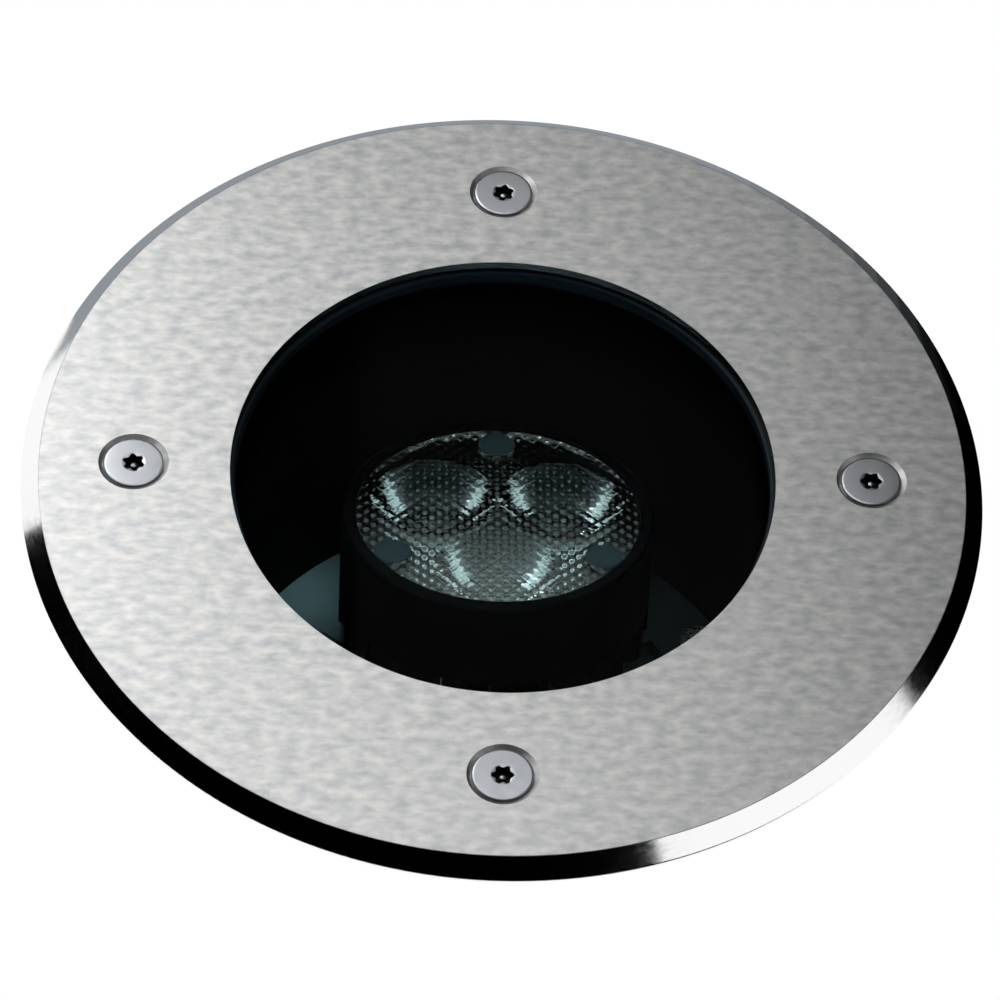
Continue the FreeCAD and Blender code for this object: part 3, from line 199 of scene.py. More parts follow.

# painted shade: the bore's steel is given a colour far darker than steel, for the dim wall of the hole
bore_painted_shade_steel = finish("turned_bore_painted_shade", (0.12, 0.13, 0.14), metallic=1.0, roughness=0.2)
rings = noise(bore_painted_shade_steel, (4 * MM, 4 * MM, 0.12 * MM))
drive(bore_painted_shade_steel, "Roughness", spread(bore_painted_shade_steel, rings, 0.14, 0.24))

head_steel = finish("screw_head", (0.52, 0.54, 0.57), metallic=1.0, roughness=0.34)
turning = noise(head_steel, (1.2 * MM, 1.2 * MM, 1.2 * MM), detail=1.0)
drive(head_steel, "Roughness", spread(head_steel, turning, 0.30, 0.38))

# painted shade: the socket's walls and floor get a near-black steel, as if no light reached them
socket_painted_shade_steel = finish("socket_depth", (0.02, 0.02, 0.02), metallic=1.0, roughness=0.5)
broached = noise(socket_painted_shade_steel, (0.3 * MM, 0.3 * MM, 0.3 * MM))
drive(socket_painted_shade_steel, "Roughness", spread(socket_painted_shade_steel, broached, 0.4, 0.6))
print("ring steels: brushed face, polished bevel, turned bore, screw head, socket depth")

# %% [markdown]
# ## Finishes of the other pieces
# The record gives each node a material slot, and each slot gets its finish here. Coated, moulded and
# plated pieces all have a fine grain, so one helper makes them all, and only colour, shine, roughness
# and the grain's size differ. What lies under the window is darker than on a bench, because the
# photograph shows hardly anything there: the black coats are made darker than their own black, and
# the grey seal, the zinc plate, the white board and the yellow emitters get near-black colours, all
# painted shade for the dark pot and the hole.


# %% Finishes of the other pieces
def fine_grained(name, colour, metallic, roughness, grain, depth, **sockets):
    """A finish whose grain and bump are this wide and deep in millimetres."""
    low, high = roughness
    material = finish(name, colour, metallic, (low + high) / 2, **sockets)
    texture = noise(material, (grain * MM, grain * MM, grain * MM))
    drive(material, "Roughness", spread(material, texture, low, high))
    bump(material, texture, depth * MM)
    return material


DULL, BLACK, SHADED = ({"Specular_IOR_Level": level} for level in (0.2, 0.01, 0.02))
finishes = {
    "screw_stainless": fine_grained("screw_steel", (0.62, 0.62, 0.61), 1.0, (0.22, 0.34), 0.5, 0.001),
    # painted shade: the grey silicone is given a near-black colour
    "grey_silicone": fine_grained("silicone_seal_painted_shade", (0.003, 0.009, 0.013), 0.0, (0.3, 0.45), 0.4, 0.004,
                                  Specular_IOR_Level=0.15),
    # partly its own black and partly painted shade: the black coat is made darker still
    "cast_black": fine_grained("powder_coat_and_painted_shade", (0.001, 0.001, 0.001), 0.0, (0.6, 0.75), 0.35, 0.02, **BLACK),
    "sleeve_plastic": fine_grained("sleeve_moulding", (0.028, 0.028, 0.03), 0.0, (0.42, 0.58), 0.6, 0.02),
    "black_rubber": fine_grained("black_rubber", (0.015, 0.015, 0.015), 0.0, (0.6, 0.8), 0.4, 0.01),
    "brass": fine_grained("brass", (0.72, 0.54, 0.25), 1.0, (0.22, 0.36), 0.4, 0.004),
    "gland_brass": fine_grained("nickelled_brass", (0.62, 0.60, 0.55), 1.0, (0.18, 0.3), 0.5, 0.004),
    # painted shade: the zinc plate is given a near-black colour
    "plate_steel": fine_grained("zinc_plate_painted_shade", (0.030, 0.043, 0.048), 0.1, (0.45, 0.6), 1.2, 0.01, **DULL),
    "driver_case": fine_grained("driver_case", (0.80, 0.80, 0.78), 0.0, (0.4, 0.5), 0.5, 0.01),
    "terminal_plastic": fine_grained("terminal_case", (0.82, 0.82, 0.79), 0.0, (0.25, 0.35), 0.6, 0.004),
    "nylon": fine_grained("nylon", (0.80, 0.79, 0.74), 0.0, (0.4, 0.5), 0.4, 0.004),
    # partly its own black and partly painted shade: the anodising is made darker still
    "black_anodised": fine_grained("black_anodised", (0.001, 0.001, 0.0015), 0.0, (0.45, 0.6), 0.3, 0.006,
                                   **SHADED),
    "pad_grey": fine_grained("thermal_pad", (0.40, 0.41, 0.43), 0.0, (0.7, 0.85), 0.4, 0.01),
    # painted shade: the white board is given a near-black teal colour
    "board_white": fine_grained("solder_mask_painted_shade", (0.010, 0.020, 0.028), 0.0, (0.3, 0.4), 0.6, 0.004),
    # painted shade: the yellow phosphor is given a near-black colour
    "emitter": fine_grained("phosphor_painted_shade", (0.05, 0.045, 0.02), 0.0, (0.2, 0.3), 0.3, 0.004),
}
print("grained finishes:", len(finishes))

# %% [markdown]
# ## Clear glass and clear plastic
# The window and the lens bend light, which one Principled shader with full transmission does. But a
# flat pane also mirrors the lamps and would lay a grey veil over the black pot, which the photograph
# doesn't have. So the window is mostly a plain refraction shader, with only a small share of that
# shine. Shadow rays go straight through with a tint, because bent light would take far too many rays
# to find its way. The lens also needs a frosted finish for three pads on its top, whose dark teal
# colour is painted shade.


# %% Clear glass and clear plastic
def clear(name, colour, roughness, ior, through, shine=1.0):
    """A clear solid that bends light, with this share of a real surface's shine."""
    material = finish(name, colour, 0.0, roughness, IOR=ior, Transmission_Weight=1.0)
    tree = material.node_tree
    bent = tree.nodes.new("ShaderNodeBsdfRefraction")
    bent.inputs["Color"].default_value = (*colour, 1)
    bent.inputs["Roughness"].default_value = roughness
    bent.inputs["IOR"].default_value = ior
    coated = tree.nodes.new("ShaderNodeMixShader")
    coated.inputs[0].default_value = shine
    tree.links.new(bent.outputs[0], coated.inputs[1])
    tree.links.new(tree.nodes["Principled BSDF"].outputs[0], coated.inputs[2])
    rays = tree.nodes.new("ShaderNodeLightPath")
    passing = tree.nodes.new("ShaderNodeBsdfTransparent")
    passing.inputs["Color"].default_value = (*through, 1)
    mix = tree.nodes.new("ShaderNodeMixShader")
    tree.links.new(rays.outputs["Is Shadow Ray"], mix.inputs[0])
    tree.links.new(coated.outputs[0], mix.inputs[1])
    tree.links.new(passing.outputs[0], mix.inputs[2])
    tree.links.new(mix.outputs[0], tree.nodes["Material Output"].inputs["Surface"])
    return material


GLASS_IOR, ACRYLIC_IOR = 1.5, 1.49
finishes["clear_glass"] = clear("window_glass", (0.92, 0.97, 0.96), 0.0, GLASS_IOR, (0.5, 0.55, 0.55),
                                shine=0.015)
finishes["clear_optic"] = clear("clear_optic", (0.86, 0.92, 0.93), 0.03, ACRYLIC_IOR, (0.3, 0.37, 0.4))
# painted shade: the frosted pads are given a dark teal colour
frosted = finish("frosted_pad_painted_shade", (0.018, 0.032, 0.038), roughness=0.6, Specular_IOR_Level=0.1)
bump(frosted, noise(frosted, (0.25 * MM, 0.25 * MM, 0.25 * MM)), 0.01 * MM)
finishes["brushed_stainless"] = face_steel

# %% [markdown]
# ## Finishes for the frame's own solids
# Every solid from the frame has one material slot, which takes the finish that the record names for
# it. The pieces that are modelled again below take finishes from the same list, and the ring, the
# screws and the lens also have steels and a frosted finish of their own.

# %% Finishes for the frame's own solids
slot_of = {row["node"]: row["material_slot"] for row in frame["record"]["subparts"]}
for name, node in nodes.items():
    node.material_slots[0].material = finishes[slot_of[name]]
print("finishes:", len(finishes), "for", len(slot_of), "nodes")

# %% [markdown]
# ## Turned pieces
# The ring, the screws and much of the lens are turned shapes. On a lathe a tool follows a profile,
# and here a circle does: it is extruded and scaled from each point of the profile to the next.
# Spinning a drawn profile would do too, but a circle has its points exactly where they are wanted.
# The profile may close on itself, as a ring's does, or end in flat caps.


# %% Turning
SAME_POINT = 0.001 * MM


def only(thing):
    """Select this object alone."""
    bpy.ops.object.select_all(action="DESELECT")
    thing.select_set(True)
    bpy.context.view_layer.objects.active = thing


def turned_piece(name, profile, steps, closed=False):
    """A turned mesh about Z through the profile's points, each a radius and a height in metres."""
    bpy.ops.object.select_all(action="DESELECT")
    radius, height = profile[0]
    fill = "NOTHING" if closed or radius == 0 else "NGON"
    bpy.ops.mesh.primitive_circle_add(vertices=steps, radius=radius, location=(0, 0, height), fill_type=fill)
    piece = bpy.context.object
    piece.name = piece.data.name = name
    bpy.ops.object.transform_apply(location=True)
    bpy.ops.object.mode_set(mode="EDIT")
    bpy.ops.mesh.select_all(action="SELECT")
    for next_radius, next_height in profile[1:] + (profile[:1] if closed else []):
        bpy.ops.mesh.extrude_edges_move(TRANSFORM_OT_translate={"value": (0, 0, next_height - height)})
        share = next_radius / radius
        bpy.ops.transform.resize(value=(share, share, 1), center_override=(0, 0, 0))
        radius, height = next_radius, next_height
    if closed:
        bpy.ops.mesh.select_all(action="SELECT")
        bpy.ops.mesh.remove_doubles(threshold=SAME_POINT)
    else:
        bpy.ops.mesh.edge_face_add()
    bpy.ops.mesh.select_all(action="SELECT")
    bpy.ops.mesh.normals_make_consistent(inside=False)
    bpy.ops.object.mode_set(mode="OBJECT")
    return piece


def smooth(piece, angle):
    """Shade smooth across edges flatter than this angle in degrees."""
    only(piece)
    bpy.ops.object.shade_smooth_by_angle(angle=math.radians(angle))


def combined(piece, other, operation):
    """Cut, join or intersect a piece with another, which is used up."""
    only(piece)
    step = piece.modifiers.new("combine", "BOOLEAN")
    step.operation = operation
    step.solver = "EXACT"
    step.object = other
    bpy.ops.object.modifier_apply(modifier=step.name)
    bpy.data.objects.remove(other)


# %% [markdown]
# ## The trim ring
# The real ring is cut from plate, brushed on its face and polished on its bevelled edge. Its
# outline is the frame's own, but each sharp edge gets the tiny round that catches light, and the
# circle has enough steps to look round in a close view. Four countersinks are cut with a cone.

# %% The trim ring
RING_STEPS, CONE_STEPS = 288, 64
EDGE = 0.05 * MM
low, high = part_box("trim_ring")
RING_RADIUS = high.x
RING_THICK = high.z
BORE_RADIUS = 42.5 * MM
BEVEL_WIDTH, BEVEL_HEIGHT = 2.8 * MM, 2.2 * MM
SEAL_RADIUS, SEAL_RECESS = 49.2 * MM, 1.0 * MM
SCREW_HOLE, COUNTERSINK = 5.5 * MM, 11.0 * MM

ring = turned_piece("ring_face", [
    (BORE_RADIUS, SEAL_RECESS),
    (BORE_RADIUS, RING_THICK - EDGE),
    (BORE_RADIUS + EDGE, RING_THICK),
    (RING_RADIUS - BEVEL_WIDTH - EDGE, RING_THICK),
    (RING_RADIUS - BEVEL_WIDTH + EDGE, RING_THICK - EDGE * BEVEL_HEIGHT / BEVEL_WIDTH),
    (RING_RADIUS, RING_THICK - BEVEL_HEIGHT),
    (RING_RADIUS, EDGE),
    (RING_RADIUS - EDGE, 0),
    (SEAL_RADIUS, 0),
    (SEAL_RADIUS, SEAL_RECESS)], RING_STEPS, closed=True)
print("ring radius", round(RING_RADIUS / MM, 2), "mm, thickness", round(RING_THICK / MM, 2), "mm")

# %% [markdown]
# ## Its countersinks
# A countersink is cut with a cone that has the screw's own angle. Each hole here has a narrow seat
# for the head and a wider mouth, so a thin dark gap shows round the head, as on the photograph.
# Booleans leave slivers behind, so points closer than a hundredth of a millimetre are merged.

# %% Its countersinks
screw_low, screw_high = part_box("trim_screws")
SCREW_HEAD = 9.3 * MM
SCREW_CIRCLE = (screw_high.x - screw_low.x) / 2 - SCREW_HEAD / 2
HEAD_TOP = RING_THICK - 0.1 * MM
HEAD_ROUND = 0.2 * MM
HEAD_CONE = SCREW_HEAD / 2 - (HEAD_TOP - HEAD_ROUND)
SEAT_PLAY = 0.03 * MM
SEAT_HEIGHT = 2.3 * MM
SLIVER = 0.01 * MM


def on_screw_circle(piece, turn):
    """Move a piece from the middle to one of the four places on the screw circle."""
    angle = math.radians(90 * turn)
    place = (SCREW_CIRCLE * math.cos(angle), SCREW_CIRCLE * math.sin(angle), 0)
    piece.data.transform(Matrix.Translation(place))


for turn in range(4):
    cone = turned_piece("countersink", [
        (SCREW_HOLE / 2, -MM), (SCREW_HOLE / 2, SCREW_HOLE / 2 - HEAD_CONE - SEAT_PLAY),
        (SEAT_HEIGHT + HEAD_CONE + SEAT_PLAY, SEAT_HEIGHT),
        (COUNTERSINK / 2, RING_THICK), (COUNTERSINK / 2 + MM, RING_THICK + MM)], CONE_STEPS)
    on_screw_circle(cone, turn)
    combined(ring, cone, "DIFFERENCE")
only(ring)
bpy.ops.object.mode_set(mode="EDIT")
bpy.ops.mesh.select_all(action="SELECT")
bpy.ops.mesh.remove_doubles(threshold=SLIVER)
bpy.ops.mesh.dissolve_degenerate(threshold=SLIVER)
bpy.ops.object.mode_set(mode="OBJECT")
print("ring faces", len(ring.data.polygons), "screw circle", round(SCREW_CIRCLE / MM, 2), "mm")

# %% [markdown]
# ## Its three finishes
# One piece of steel has three finishes, so each face takes one by its place and its slope: sloped
# and outside is bevel, upright and inside is bore, and all the rest is brushed. The flat faces are
# shaded flat, so that the holes don't bend the light round them.

# %% Its three finishes
# how far up a face looks, where 1 is straight up: less than this is sloped, a wall, or not flat
SLOPED, WALL, FLAT = 0.99, 0.5, 0.999
for steel in (face_steel, bevel_steel, bore_painted_shade_steel):
    ring.data.materials.append(steel)
for face in ring.data.polygons:
    far = math.hypot(face.center.x, face.center.y)
    if far > RING_RADIUS - BEVEL_WIDTH and face.normal.z < SLOPED:
        face.material_index = 1
    # the bore's faces take the steel darkened as painted shade
    elif far < BORE_RADIUS + EDGE and face.normal.z < WALL:
        face.material_index = 2
smooth(ring, 12)
for face in ring.data.polygons:
    face.use_smooth = abs(face.normal.z) < FLAT
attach(ring, "ground_body")
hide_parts("trim_ring")
print("ring finishes", [steel.name for steel in ring.data.materials])

# %% [markdown]
# ## The trim screws
# The heads are countersunk and have a six-lobed socket with a pin in it, so that only its own key
# turns them. The socket's outline is a circle whose points are pushed in and out six times round.

# %% The trim screws
SOCKET, SOCKET_DEPTH, LOBE = 1.5 * MM, 1.6 * MM, 0.18 * MM
PIN, PIN_DROP = 0.45 * MM, 0.6 * MM
SHANK, SHANK_CHAMFER = 2.45 * MM, 0.8 * MM
LOBES, SCREW_STEPS = 6, 96
NEAR = 0.02 * MM
screw_foot = screw_low.z


def lobed(piece, middle, depth):
    """Push the socket's circles in and out to six lobes."""
    for vertex in piece.data.vertices:
        reach = math.hypot(vertex.co.x, vertex.co.y)
        if abs(reach - middle) < NEAR and vertex.co.z > HEAD_TOP - 2 * SOCKET_DEPTH:
            share = 1 + depth / reach * math.cos(LOBES * math.atan2(vertex.co.y, vertex.co.x))
            vertex.co.x *= share
            vertex.co.y *= share


screw = turned_piece("trim_screw", [
    (PIN * 0.3, HEAD_TOP - PIN_DROP),
    (PIN, HEAD_TOP - PIN_DROP - 0.15 * MM),
    (PIN, HEAD_TOP - SOCKET_DEPTH),
    (SOCKET, HEAD_TOP - SOCKET_DEPTH),
    (SOCKET, HEAD_TOP - 0.08 * MM),
    (SOCKET + LOBE + 0.1 * MM, HEAD_TOP),
    (SOCKET + LOBE + 0.2 * MM, HEAD_TOP),
    (SCREW_HEAD / 2 - 2 * HEAD_ROUND, HEAD_TOP),
    (SCREW_HEAD / 2 - HEAD_ROUND, HEAD_TOP - 0.01 * MM),
    (SCREW_HEAD / 2 - 0.06 * MM, HEAD_TOP - 0.06 * MM),
    (SCREW_HEAD / 2, HEAD_TOP - HEAD_ROUND),
    (SHANK, SHANK - HEAD_CONE),
    (SHANK, screw_foot + SHANK_CHAMFER),
    (SHANK - SHANK_CHAMFER, screw_foot)], SCREW_STEPS)
lobed(screw, SOCKET, LOBE)
screw.data.materials.append(head_steel)
screw.data.materials.append(socket_painted_shade_steel)
# painted shade: the socket's walls and floor, but not the pin's top, take the near-black steel
for face in screw.data.polygons:
    reach, drop = math.hypot(face.center.x, face.center.y), HEAD_TOP - face.center.z
    on_pin = reach < 1.1 * PIN and drop < PIN_DROP + 0.2 * MM
    if reach < SOCKET + LOBE and not on_pin and 0.05 * MM < drop < SOCKET_DEPTH * 1.01:
        face.material_index = 1
smooth(screw, 35)
print("screw faces", len(screw.data.polygons), "length", round((HEAD_TOP - screw_foot) / MM, 1), "mm")

# %% [markdown]
# ## Four of them
# The four screws are one mesh copied three times. Each is turned a little about its own axis, as
# nobody lines up the sockets when they tighten screws.

# %% Four of them
SOCKET_TURN = 0.35
screws = [screw]
for turn in range(1, 4):
    copy = screw.copy()
    copy.data = screw.data.copy()
    bpy.context.scene.collection.objects.link(copy)
    screws.append(copy)
for turn, copy in enumerate(screws):
    copy.name = copy.data.name = "trim_screw_%d" % (turn + 1)
    copy.data.transform(Matrix.Rotation(SOCKET_TURN * turn, 4, "Z"))
    on_screw_circle(copy, turn)
    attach(copy, "ground_body")
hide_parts("trim_screws")
print("screws", [copy.name for copy in screws])

# %% [markdown]
# ## The top of the lens
# One clear moulding carries three deep cells, one over each light source, and three posts between
# them. Its whole top is a field of small pillows that blend the beam, but for three flat pads over
# the posts. A grid gives the pillows: every second point of it is lifted, and one level of
# subdivision rounds them. The grid is turned by 45 degrees, which is why the photograph shows
# diamonds.

# %% The top of the lens
LENS_RADIUS, LENS_STEPS = 23.4 * MM, 144
CELL_LOW, PLATE_UNDER, PILLOW_TOP = 23.9 * MM, 31.0 * MM, 33.0 * MM
PILLOW, LIFT, PILLOW_STEPS = 1.65 * MM, 1.25 * MM, 60
PILLOW_TURN = math.radians(45)


def pillow_block():
    """A block as wide as the lens, whose top is a field of pillows."""
    bpy.ops.object.select_all(action="DESELECT")
    side = PILLOW_STEPS * PILLOW / 2
    bpy.ops.mesh.primitive_grid_add(x_subdivisions=PILLOW_STEPS, y_subdivisions=PILLOW_STEPS, size=side)
    block = bpy.context.object
    block.name = "pillow_block"
    for vertex in block.data.vertices:
        column, row = (round((place + side / 2) / (PILLOW / 2)) for place in vertex.co.xy)
        if column % 2 and row % 2:
            vertex.co.z = LIFT
    rounder = block.modifiers.new("round", "SUBSURF")
    rounder.levels = 1
    bpy.ops.object.modifier_apply(modifier=rounder.name)
    top = max(vertex.co.z for vertex in block.data.vertices)
    block.data.transform(Matrix.Translation((0, 0, PILLOW_TOP - top)))
    bpy.ops.object.mode_set(mode="EDIT")
    bpy.ops.mesh.select_all(action="DESELECT")
    bpy.ops.mesh.select_non_manifold()
    bpy.ops.mesh.extrude_edges_move(TRANSFORM_OT_translate={"value": (0, 0, CELL_LOW - PILLOW_TOP - MM)})
    bpy.ops.transform.resize(value=(1, 1, 0))
    bpy.ops.mesh.edge_face_add()
    bpy.ops.mesh.select_all(action="SELECT")
    bpy.ops.mesh.normals_make_consistent(inside=False)
    bpy.ops.object.mode_set(mode="OBJECT")
    block.data.transform(Matrix.Rotation(PILLOW_TURN, 4, "Z"))
    print("pillows stand", round(top / MM, 2), "mm high")
    return block


lens = turned_piece("lens_moulding", [
    (LENS_RADIUS, PLATE_UNDER), (LENS_RADIUS, PILLOW_TOP + MM)], LENS_STEPS)
combined(lens, pillow_block(), "INTERSECT")
print("faces on the lens plate", len(lens.data.polygons))

# %% [markdown]
# ## Cells and posts
# Under the plate each cell is a cup whose curved wall turns the light of one source forwards, and it
# has a hollow for the source at its foot. The posts join the plate, so they're united with it. The
# cells only stand close under it and are joined as they are.

# %% Cells and posts
CELL_RADIUS, CELL_FOOT, CELL_CUP, CELL_ROOF = 10.05 * MM, 4.2 * MM, 3.0 * MM, 26.9 * MM
CELL_WALL = [(5.9 * MM, 25.4 * MM), (7.3 * MM, 27.0 * MM), (8.5 * MM, 28.6 * MM), (9.5 * MM, 30.1 * MM)]
CELL_CIRCLE, CELL_START, CELL_GAP, CELL_STEPS = 11.8 * MM, 30, 0.04 * MM, 96
POST_CIRCLE, POST_START, POST_RADIUS, POST_STEPS = 19.35 * MM, 90, 3.0 * MM, 48
BOARD_TOP, PAD = 23.0 * MM, 0.2 * MM


def round_about(turn, radius, start):
    """The move to one of three places round the lamp's axis, the first at this angle in degrees."""
    angle = math.radians(start + 120 * turn)
    return Matrix.Translation((radius * math.cos(angle), radius * math.sin(angle), 0))


cell = turned_piece("cell", [(CELL_CUP, CELL_ROOF), (CELL_CUP, CELL_LOW), (CELL_FOOT, CELL_LOW)]
                    + CELL_WALL + [(CELL_RADIUS, PLATE_UNDER - CELL_GAP)], CELL_STEPS)
cells = []
for turn in range(3):
    post = turned_piece("post", [
        (POST_RADIUS, BOARD_TOP), (POST_RADIUS, PILLOW_TOP - PAD),
        (POST_RADIUS - PAD, PILLOW_TOP)], POST_STEPS)
    post.data.transform(round_about(turn, POST_CIRCLE, POST_START))
    combined(lens, post, "UNION")
    copy = cell.copy()
    copy.data = cell.data.copy()
    bpy.context.scene.collection.objects.link(copy)
    copy.data.transform(round_about(turn, CELL_CIRCLE, CELL_START))
    cells.append(copy)
bpy.data.objects.remove(cell)
only(lens)
for copy in cells:
    copy.select_set(True)
bpy.ops.object.join()
print("lens faces", len(lens.data.polygons))

# %% [markdown]
# ## The lens in the lamp
# The pads over the posts are frosted, with a dark teal colour that is painted shade, and all the rest
# is clear. Until here the lens stands upright on the lamp's own axis, which is the easy way to model
# it. At the end it leans back with the lamp, about the place of the tilt joint that the frame gives.

# %% The lens in the lamp
LEAN = math.radians(-15)
tilt = Vector(next(joint["pos_m"] for joint in frame["joints"] if joint["name"] == "lamp_tilt"))
lamp_place = Matrix.Translation(tilt) @ Matrix.Rotation(LEAN, 4, "X")
lens.data.materials.clear()
lens.data.materials.append(finishes["clear_optic"])
lens.data.materials.append(frosted)
pads = [round_about(turn, POST_CIRCLE, POST_START).translation for turn in range(3)]
for face in lens.data.polygons:
    beside = min(math.hypot(face.center.x - spot.x, face.center.y - spot.y) for spot in pads)
    face.material_index = 1 if beside < POST_RADIUS and face.center.z > PILLOW_TOP - 1.1 * PAD else 0
lens.data.transform(lamp_place)
smooth(lens, 40)
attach(lens, "lamp")
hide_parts("triple_lens")
print("the lens leans", round(math.degrees(-LEAN)), "degrees back, about", [round(v, 4) for v in tilt])

# %% [markdown]
# ## The window seal
# The seal is a soft ring with a U section that wraps the edge of the glass. Only its upper lip can
# be seen, as a thin band inside the steel, so its free edge gets a true round. The grey silicone is
# given a near-black colour, painted shade.

# %% The window seal
LIP, SILL = 41.7 * MM, 46.2 * MM
GLASS_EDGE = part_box("window_glass")[1].x
GLASS_LOW, GLASS_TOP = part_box("window_glass")[0].z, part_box("window_glass")[1].z
seal_low, seal_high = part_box("window_gasket")
LIP_ROUND, LIP_FOOT, SEAL_STEPS = 0.55 * MM, 0.3 * MM, 192
rounded = [(LIP + LIP_ROUND - LIP_ROUND * math.sin(math.radians(step)),
            seal_high.z - LIP_ROUND + LIP_ROUND * math.cos(math.radians(step))) for step in range(0, 91, 15)]
seal = turned_piece("window_seal", rounded + [
    (LIP, GLASS_TOP + LIP_FOOT), (LIP + LIP_FOOT, GLASS_TOP), (GLASS_EDGE, GLASS_TOP),
    (GLASS_EDGE, GLASS_LOW), (SILL, GLASS_LOW), (SILL, seal_low.z), (seal_high.x, seal_low.z),
    (seal_high.x, seal_high.z)], SEAL_STEPS, closed=True)
seal.data.materials.append(finishes["grey_silicone"])
smooth(seal, 30)
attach(seal, "ground_body")
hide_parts("window_gasket")
print("seal lip radius", round(LIP / MM, 1), "mm")

# %% [markdown]
# ## World and floor
# Behind the part everything is plain white, and a mirror or a lens has to see that white too. But as
# a light, so much white would wash out the steel. So one helper shows white to the camera and to
# reflected and bent rays, and a weaker shader to the rays that light the scene.

# %% World and floor
FLOOR_SIZE = 6
BASE = cad_box[0][2]


def seen_white(tree, shader, output, white):
    """Show white to camera, mirror and glass rays, and the shader to all others."""
    rays = tree.nodes.new("ShaderNodeLightPath")
    first = tree.nodes.new("ShaderNodeMath")
    second = tree.nodes.new("ShaderNodeMath")
    first.operation = second.operation = "MAXIMUM"
    tree.links.new(rays.outputs["Is Camera Ray"], first.inputs[0])
    tree.links.new(rays.outputs["Is Glossy Ray"], first.inputs[1])
    tree.links.new(first.outputs[0], second.inputs[0])
    tree.links.new(rays.outputs["Is Transmission Ray"], second.inputs[1])
    mix = tree.nodes.new("ShaderNodeMixShader")
    tree.links.new(second.outputs[0], mix.inputs[0])
    tree.links.new(shader, mix.inputs[1])
    tree.links.new(white, mix.inputs[2])
    tree.links.new(mix.outputs[0], output)


world = bpy.data.worlds.new("studio")
bpy.context.scene.world = world
world.use_nodes = True
tree = world.node_tree
fill = tree.nodes["Background"]
fill.inputs["Color"].default_value = (0.9, 0.95, 1.0, 1)
fill.inputs["Strength"].default_value = 0.5
white = tree.nodes.new("ShaderNodeBackground")
white.inputs["Color"].default_value = (1, 1, 1, 1)
seen_white(tree, fill.outputs[0], tree.nodes["World Output"].inputs["Surface"], white.outputs[0])

pale = bpy.data.materials.new("pale_floor")
pale.use_nodes = True
tree = pale.node_tree
shader = tree.nodes["Principled BSDF"]
shader.inputs["Base Color"].default_value = (0.9, 0.9, 0.9, 1)
shader.inputs["Roughness"].default_value = 0.9
glow = tree.nodes.new("ShaderNodeEmission")
glow.inputs["Strength"].default_value = 1.0
seen_white(tree, shader.outputs[0], tree.nodes["Material Output"].inputs["Surface"], glow.outputs[0])

bpy.ops.object.select_all(action="DESELECT")
bpy.ops.mesh.primitive_plane_add(size=FLOOR_SIZE, location=(0, 0, BASE))
floor = bpy.context.object
floor.name = "floor"
floor.data.materials.append(pale)
print("the floor lies at", round(BASE / MM, 1), "mm")

# %% [markdown]
# ## The paving
# In use only the ring shows above the ground. A pale round slab stands for the paving and hides the
# sleeve from above, and it ends not far outside, so that the sleeve can be seen from the side.

# %% The paving
PAVING_RADIUS, HOLE_RADIUS = 126 * MM, 68.2 * MM
PAVING_TOP, PAVING_UNDER, PAVING_STEPS = -0.4 * MM, -3 * MM, 128
plain_edge = finish("paving_edge", (0.8, 0.8, 0.8), roughness=0.8)
paving = turned_piece("paving", [
    (HOLE_RADIUS, PAVING_TOP), (PAVING_RADIUS, PAVING_TOP),
    (PAVING_RADIUS, PAVING_UNDER), (HOLE_RADIUS, PAVING_UNDER)], PAVING_STEPS, closed=True)
paving.data.materials.append(pale)
paving.data.materials.append(plain_edge)
for face in paving.data.polygons:
    face.material_index = 0 if face.normal.z > WALL else 1
print("the paving reaches", round(PAVING_RADIUS / MM), "mm out")

# %% [markdown]
# ## A tent for reflections
# Product photographs of steel are made in a dark room with a few white cards: the steel shows the
# cards as white and the room as black. Here the world is the white card, and a black tent round the
# part lets only two openings of it through. Only reflections see the tent, so it takes no light away.

# %% A tent for reflections
TENT, TENT_FOOT = 1.6, -0.22
OPENINGS = [((110, 152), (-9, 14)), ((-55, 2), (23, 46))]


def in_opening(direction, sides, heights):
    """True where a direction lies between two azimuths and two elevations, in degrees."""
    azimuth = math.degrees(math.atan2(direction.y, direction.x))
    height = math.degrees(math.asin(direction.z / direction.length))
    beside = any(sides[0] <= azimuth + turn <= sides[1] for turn in (-360, 0, 360))
    return beside and heights[0] <= height <= heights[1]


def delete_faces(piece, unwanted):
    """Delete the faces for which this is true."""
    only(piece)
    bpy.ops.object.mode_set(mode="EDIT")
    bpy.ops.mesh.select_mode(type="FACE")
    bpy.ops.mesh.select_all(action="DESELECT")
    bpy.ops.object.mode_set(mode="OBJECT")
    for face in piece.data.polygons:
        face.select = unwanted(face)
    bpy.ops.object.mode_set(mode="EDIT")
    bpy.ops.mesh.delete(type="FACE")
    bpy.ops.object.mode_set(mode="OBJECT")


def only_for_reflections(piece):
    """Hide a piece of the studio from all rays but mirrored ones."""
    piece.visible_camera = piece.visible_diffuse = False
    piece.visible_shadow = piece.visible_transmission = False


bpy.ops.object.select_all(action="DESELECT")
bpy.ops.mesh.primitive_uv_sphere_add(segments=120, ring_count=60, radius=TENT)
tent = bpy.context.object
tent.name = "tent"
delete_faces(tent, lambda face: face.center.z < TENT_FOOT
             or any(in_opening(face.center, *opening) for opening in OPENINGS))
black = finish("tent_black", (0.0, 0.0, 0.0), roughness=1.0, Specular_IOR_Level=0.0)
tent.data.materials.append(black)
only_for_reflections(tent)
print("tent faces", len(tent.data.polygons))

# %% [markdown]
# ## A card on the paving
# The bevel mirrors what lies close beside the ring. On the photograph it's black at the front and on
# the right, and grey at the back. So a flat ring of card lies there for reflections alone. Its
# sectors glow in steps from black to grey, and at the left, where the bevel is white, it's left out.

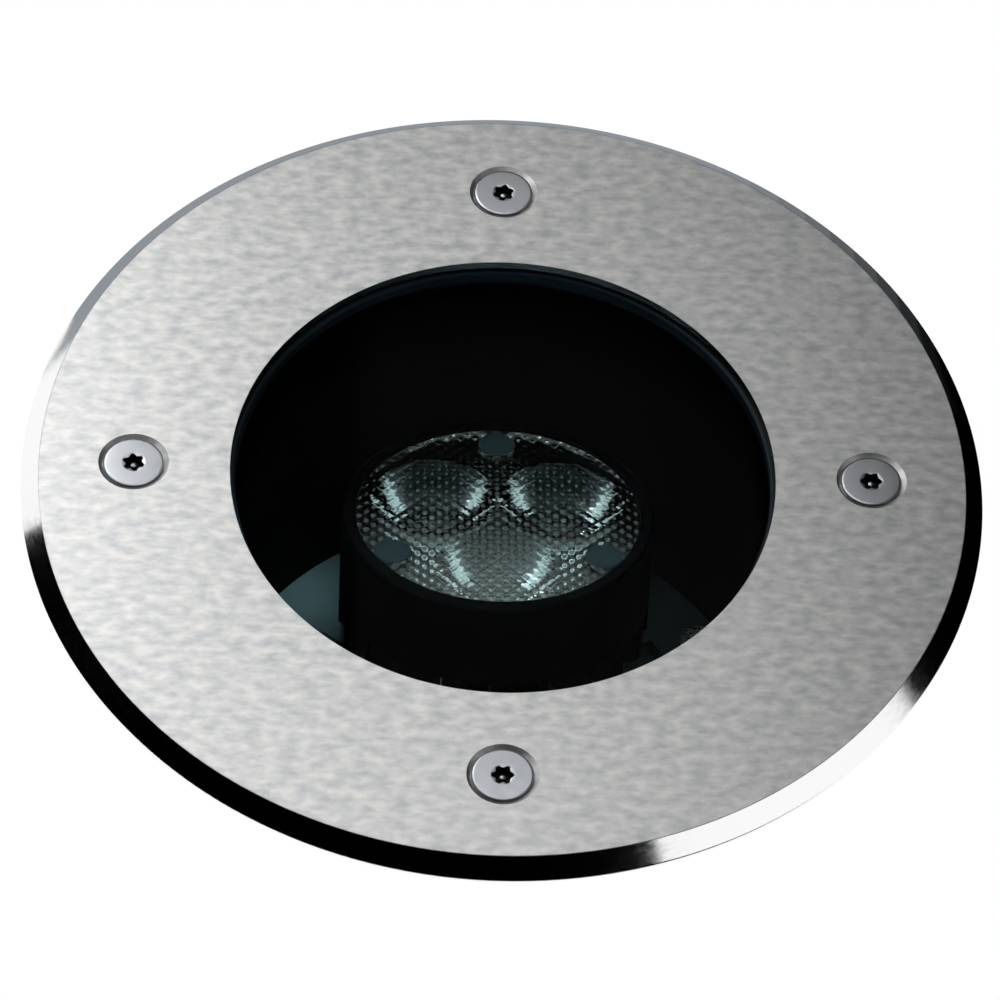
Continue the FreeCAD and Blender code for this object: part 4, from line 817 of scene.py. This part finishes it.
# %% A card on the paving
CARD_HEIGHT, CARD_GAP, CARD_STEPS = -0.3 * MM, 0.5 * MM, 180
FIRST_SHADE, LAST_SHADE, SHADE_STEP, FULL_SHADE = 22, 70, 4, 0.32
BLACK_START, CARD_END = -165, 152


def sector(face, shades):
    """The number of the shade whose azimuths a face lies in, or none."""
    azimuth = math.degrees(math.atan2(face.center.y, face.center.x))
    return next((row for row, (start, end, shade) in enumerate(shades) if start <= azimuth < end), None)


shades = [(BLACK_START, FIRST_SHADE, 0.0)]
for start in range(FIRST_SHADE, LAST_SHADE, SHADE_STEP):
    share = (start - FIRST_SHADE) / (LAST_SHADE - FIRST_SHADE)
    shades.append((start, start + SHADE_STEP, FULL_SHADE * share * share * (3 - 2 * share)))
shades.append((LAST_SHADE, CARD_END, FULL_SHADE))
card = turned_piece("card", [(RING_RADIUS + CARD_GAP, CARD_HEIGHT), (PAVING_RADIUS, CARD_HEIGHT)], CARD_STEPS)
for start, end, shade in shades:
    paper = bpy.data.materials.new("card_%d" % start)
    paper.use_nodes = True
    tree = paper.node_tree
    glow = tree.nodes.new("ShaderNodeEmission")
    glow.inputs["Color"].default_value = (0.85, 0.93, 1.0, 1)
    glow.inputs["Strength"].default_value = shade
    tree.links.new(glow.outputs[0], tree.nodes["Material Output"].inputs["Surface"])
    card.data.materials.append(paper)
for face in card.data.polygons:
    face.material_index = sector(face, shades) or 0
delete_faces(card, lambda face: sector(face, shades) is None or len(face.vertices) > 4)
only_for_reflections(card)
print("card faces", len(card.data.polygons), "in", len(shades), "shades")

# %% [markdown]
# ## Lamps
# Four level soft boxes hang at one height over the left and the back. The one named key is much the
# brightest, so the brushed face is white at the left and fades to the right. How much each box adds
# to the face was measured with one box lit at a time, and the four were set from that. A narrow
# beam from the front lights the floor plate beside the lamp, which would else be lost in the black.

# %% Lamps
LAMP_HEIGHT = 0.40


def hang(name, lamp, place):
    """Put a lamp at its place, where the camera can't see it."""
    holder = bpy.data.objects.new(name, lamp)
    bpy.context.scene.collection.objects.link(holder)
    holder.location = place
    holder.visible_camera = False
    return holder


def soft_box(name, low, high, brightness):
    """A level soft box between two corners, where brightness 1 is the white of the background."""
    lamp = bpy.data.lights.new(name, "AREA")
    lamp.shape = "RECTANGLE"
    lamp.size, lamp.size_y = high[0] - low[0], high[1] - low[1]
    lamp.energy = brightness * math.pi * lamp.size * lamp.size_y
    return hang(name, lamp, ((low[0] + high[0]) / 2, (low[1] + high[1]) / 2, LAMP_HEIGHT))


boxes = [soft_box("key", (-0.24, 0.20), (-0.12, 0.45), 5.7),
         soft_box("side", (-0.60, 0.0), (-0.24, 0.45), 1.2),
         soft_box("front", (-0.12, 0.0), (0.08, 0.20), 1.5),
         soft_box("back", (-0.02, 0.20), (0.08, 0.45), 1.0)]

beam = bpy.data.lights.new("floor_plate", "AREA")
beam.size = 0.01
beam.spread = math.radians(2.5)
beam.energy = 0.004
BEAM_PLACE, BEAM_TARGET = Vector((-0.033, -0.22, 0.40)), Vector((-0.031, 0.029, -0.073))
holder = hang("floor_plate", beam, BEAM_PLACE)
holder.rotation_euler = (BEAM_TARGET - BEAM_PLACE).to_track_quat("-Z", "Y").to_euler()
holder.visible_glossy = holder.visible_transmission = False
print("lamps", [box.name for box in boxes + [holder]])
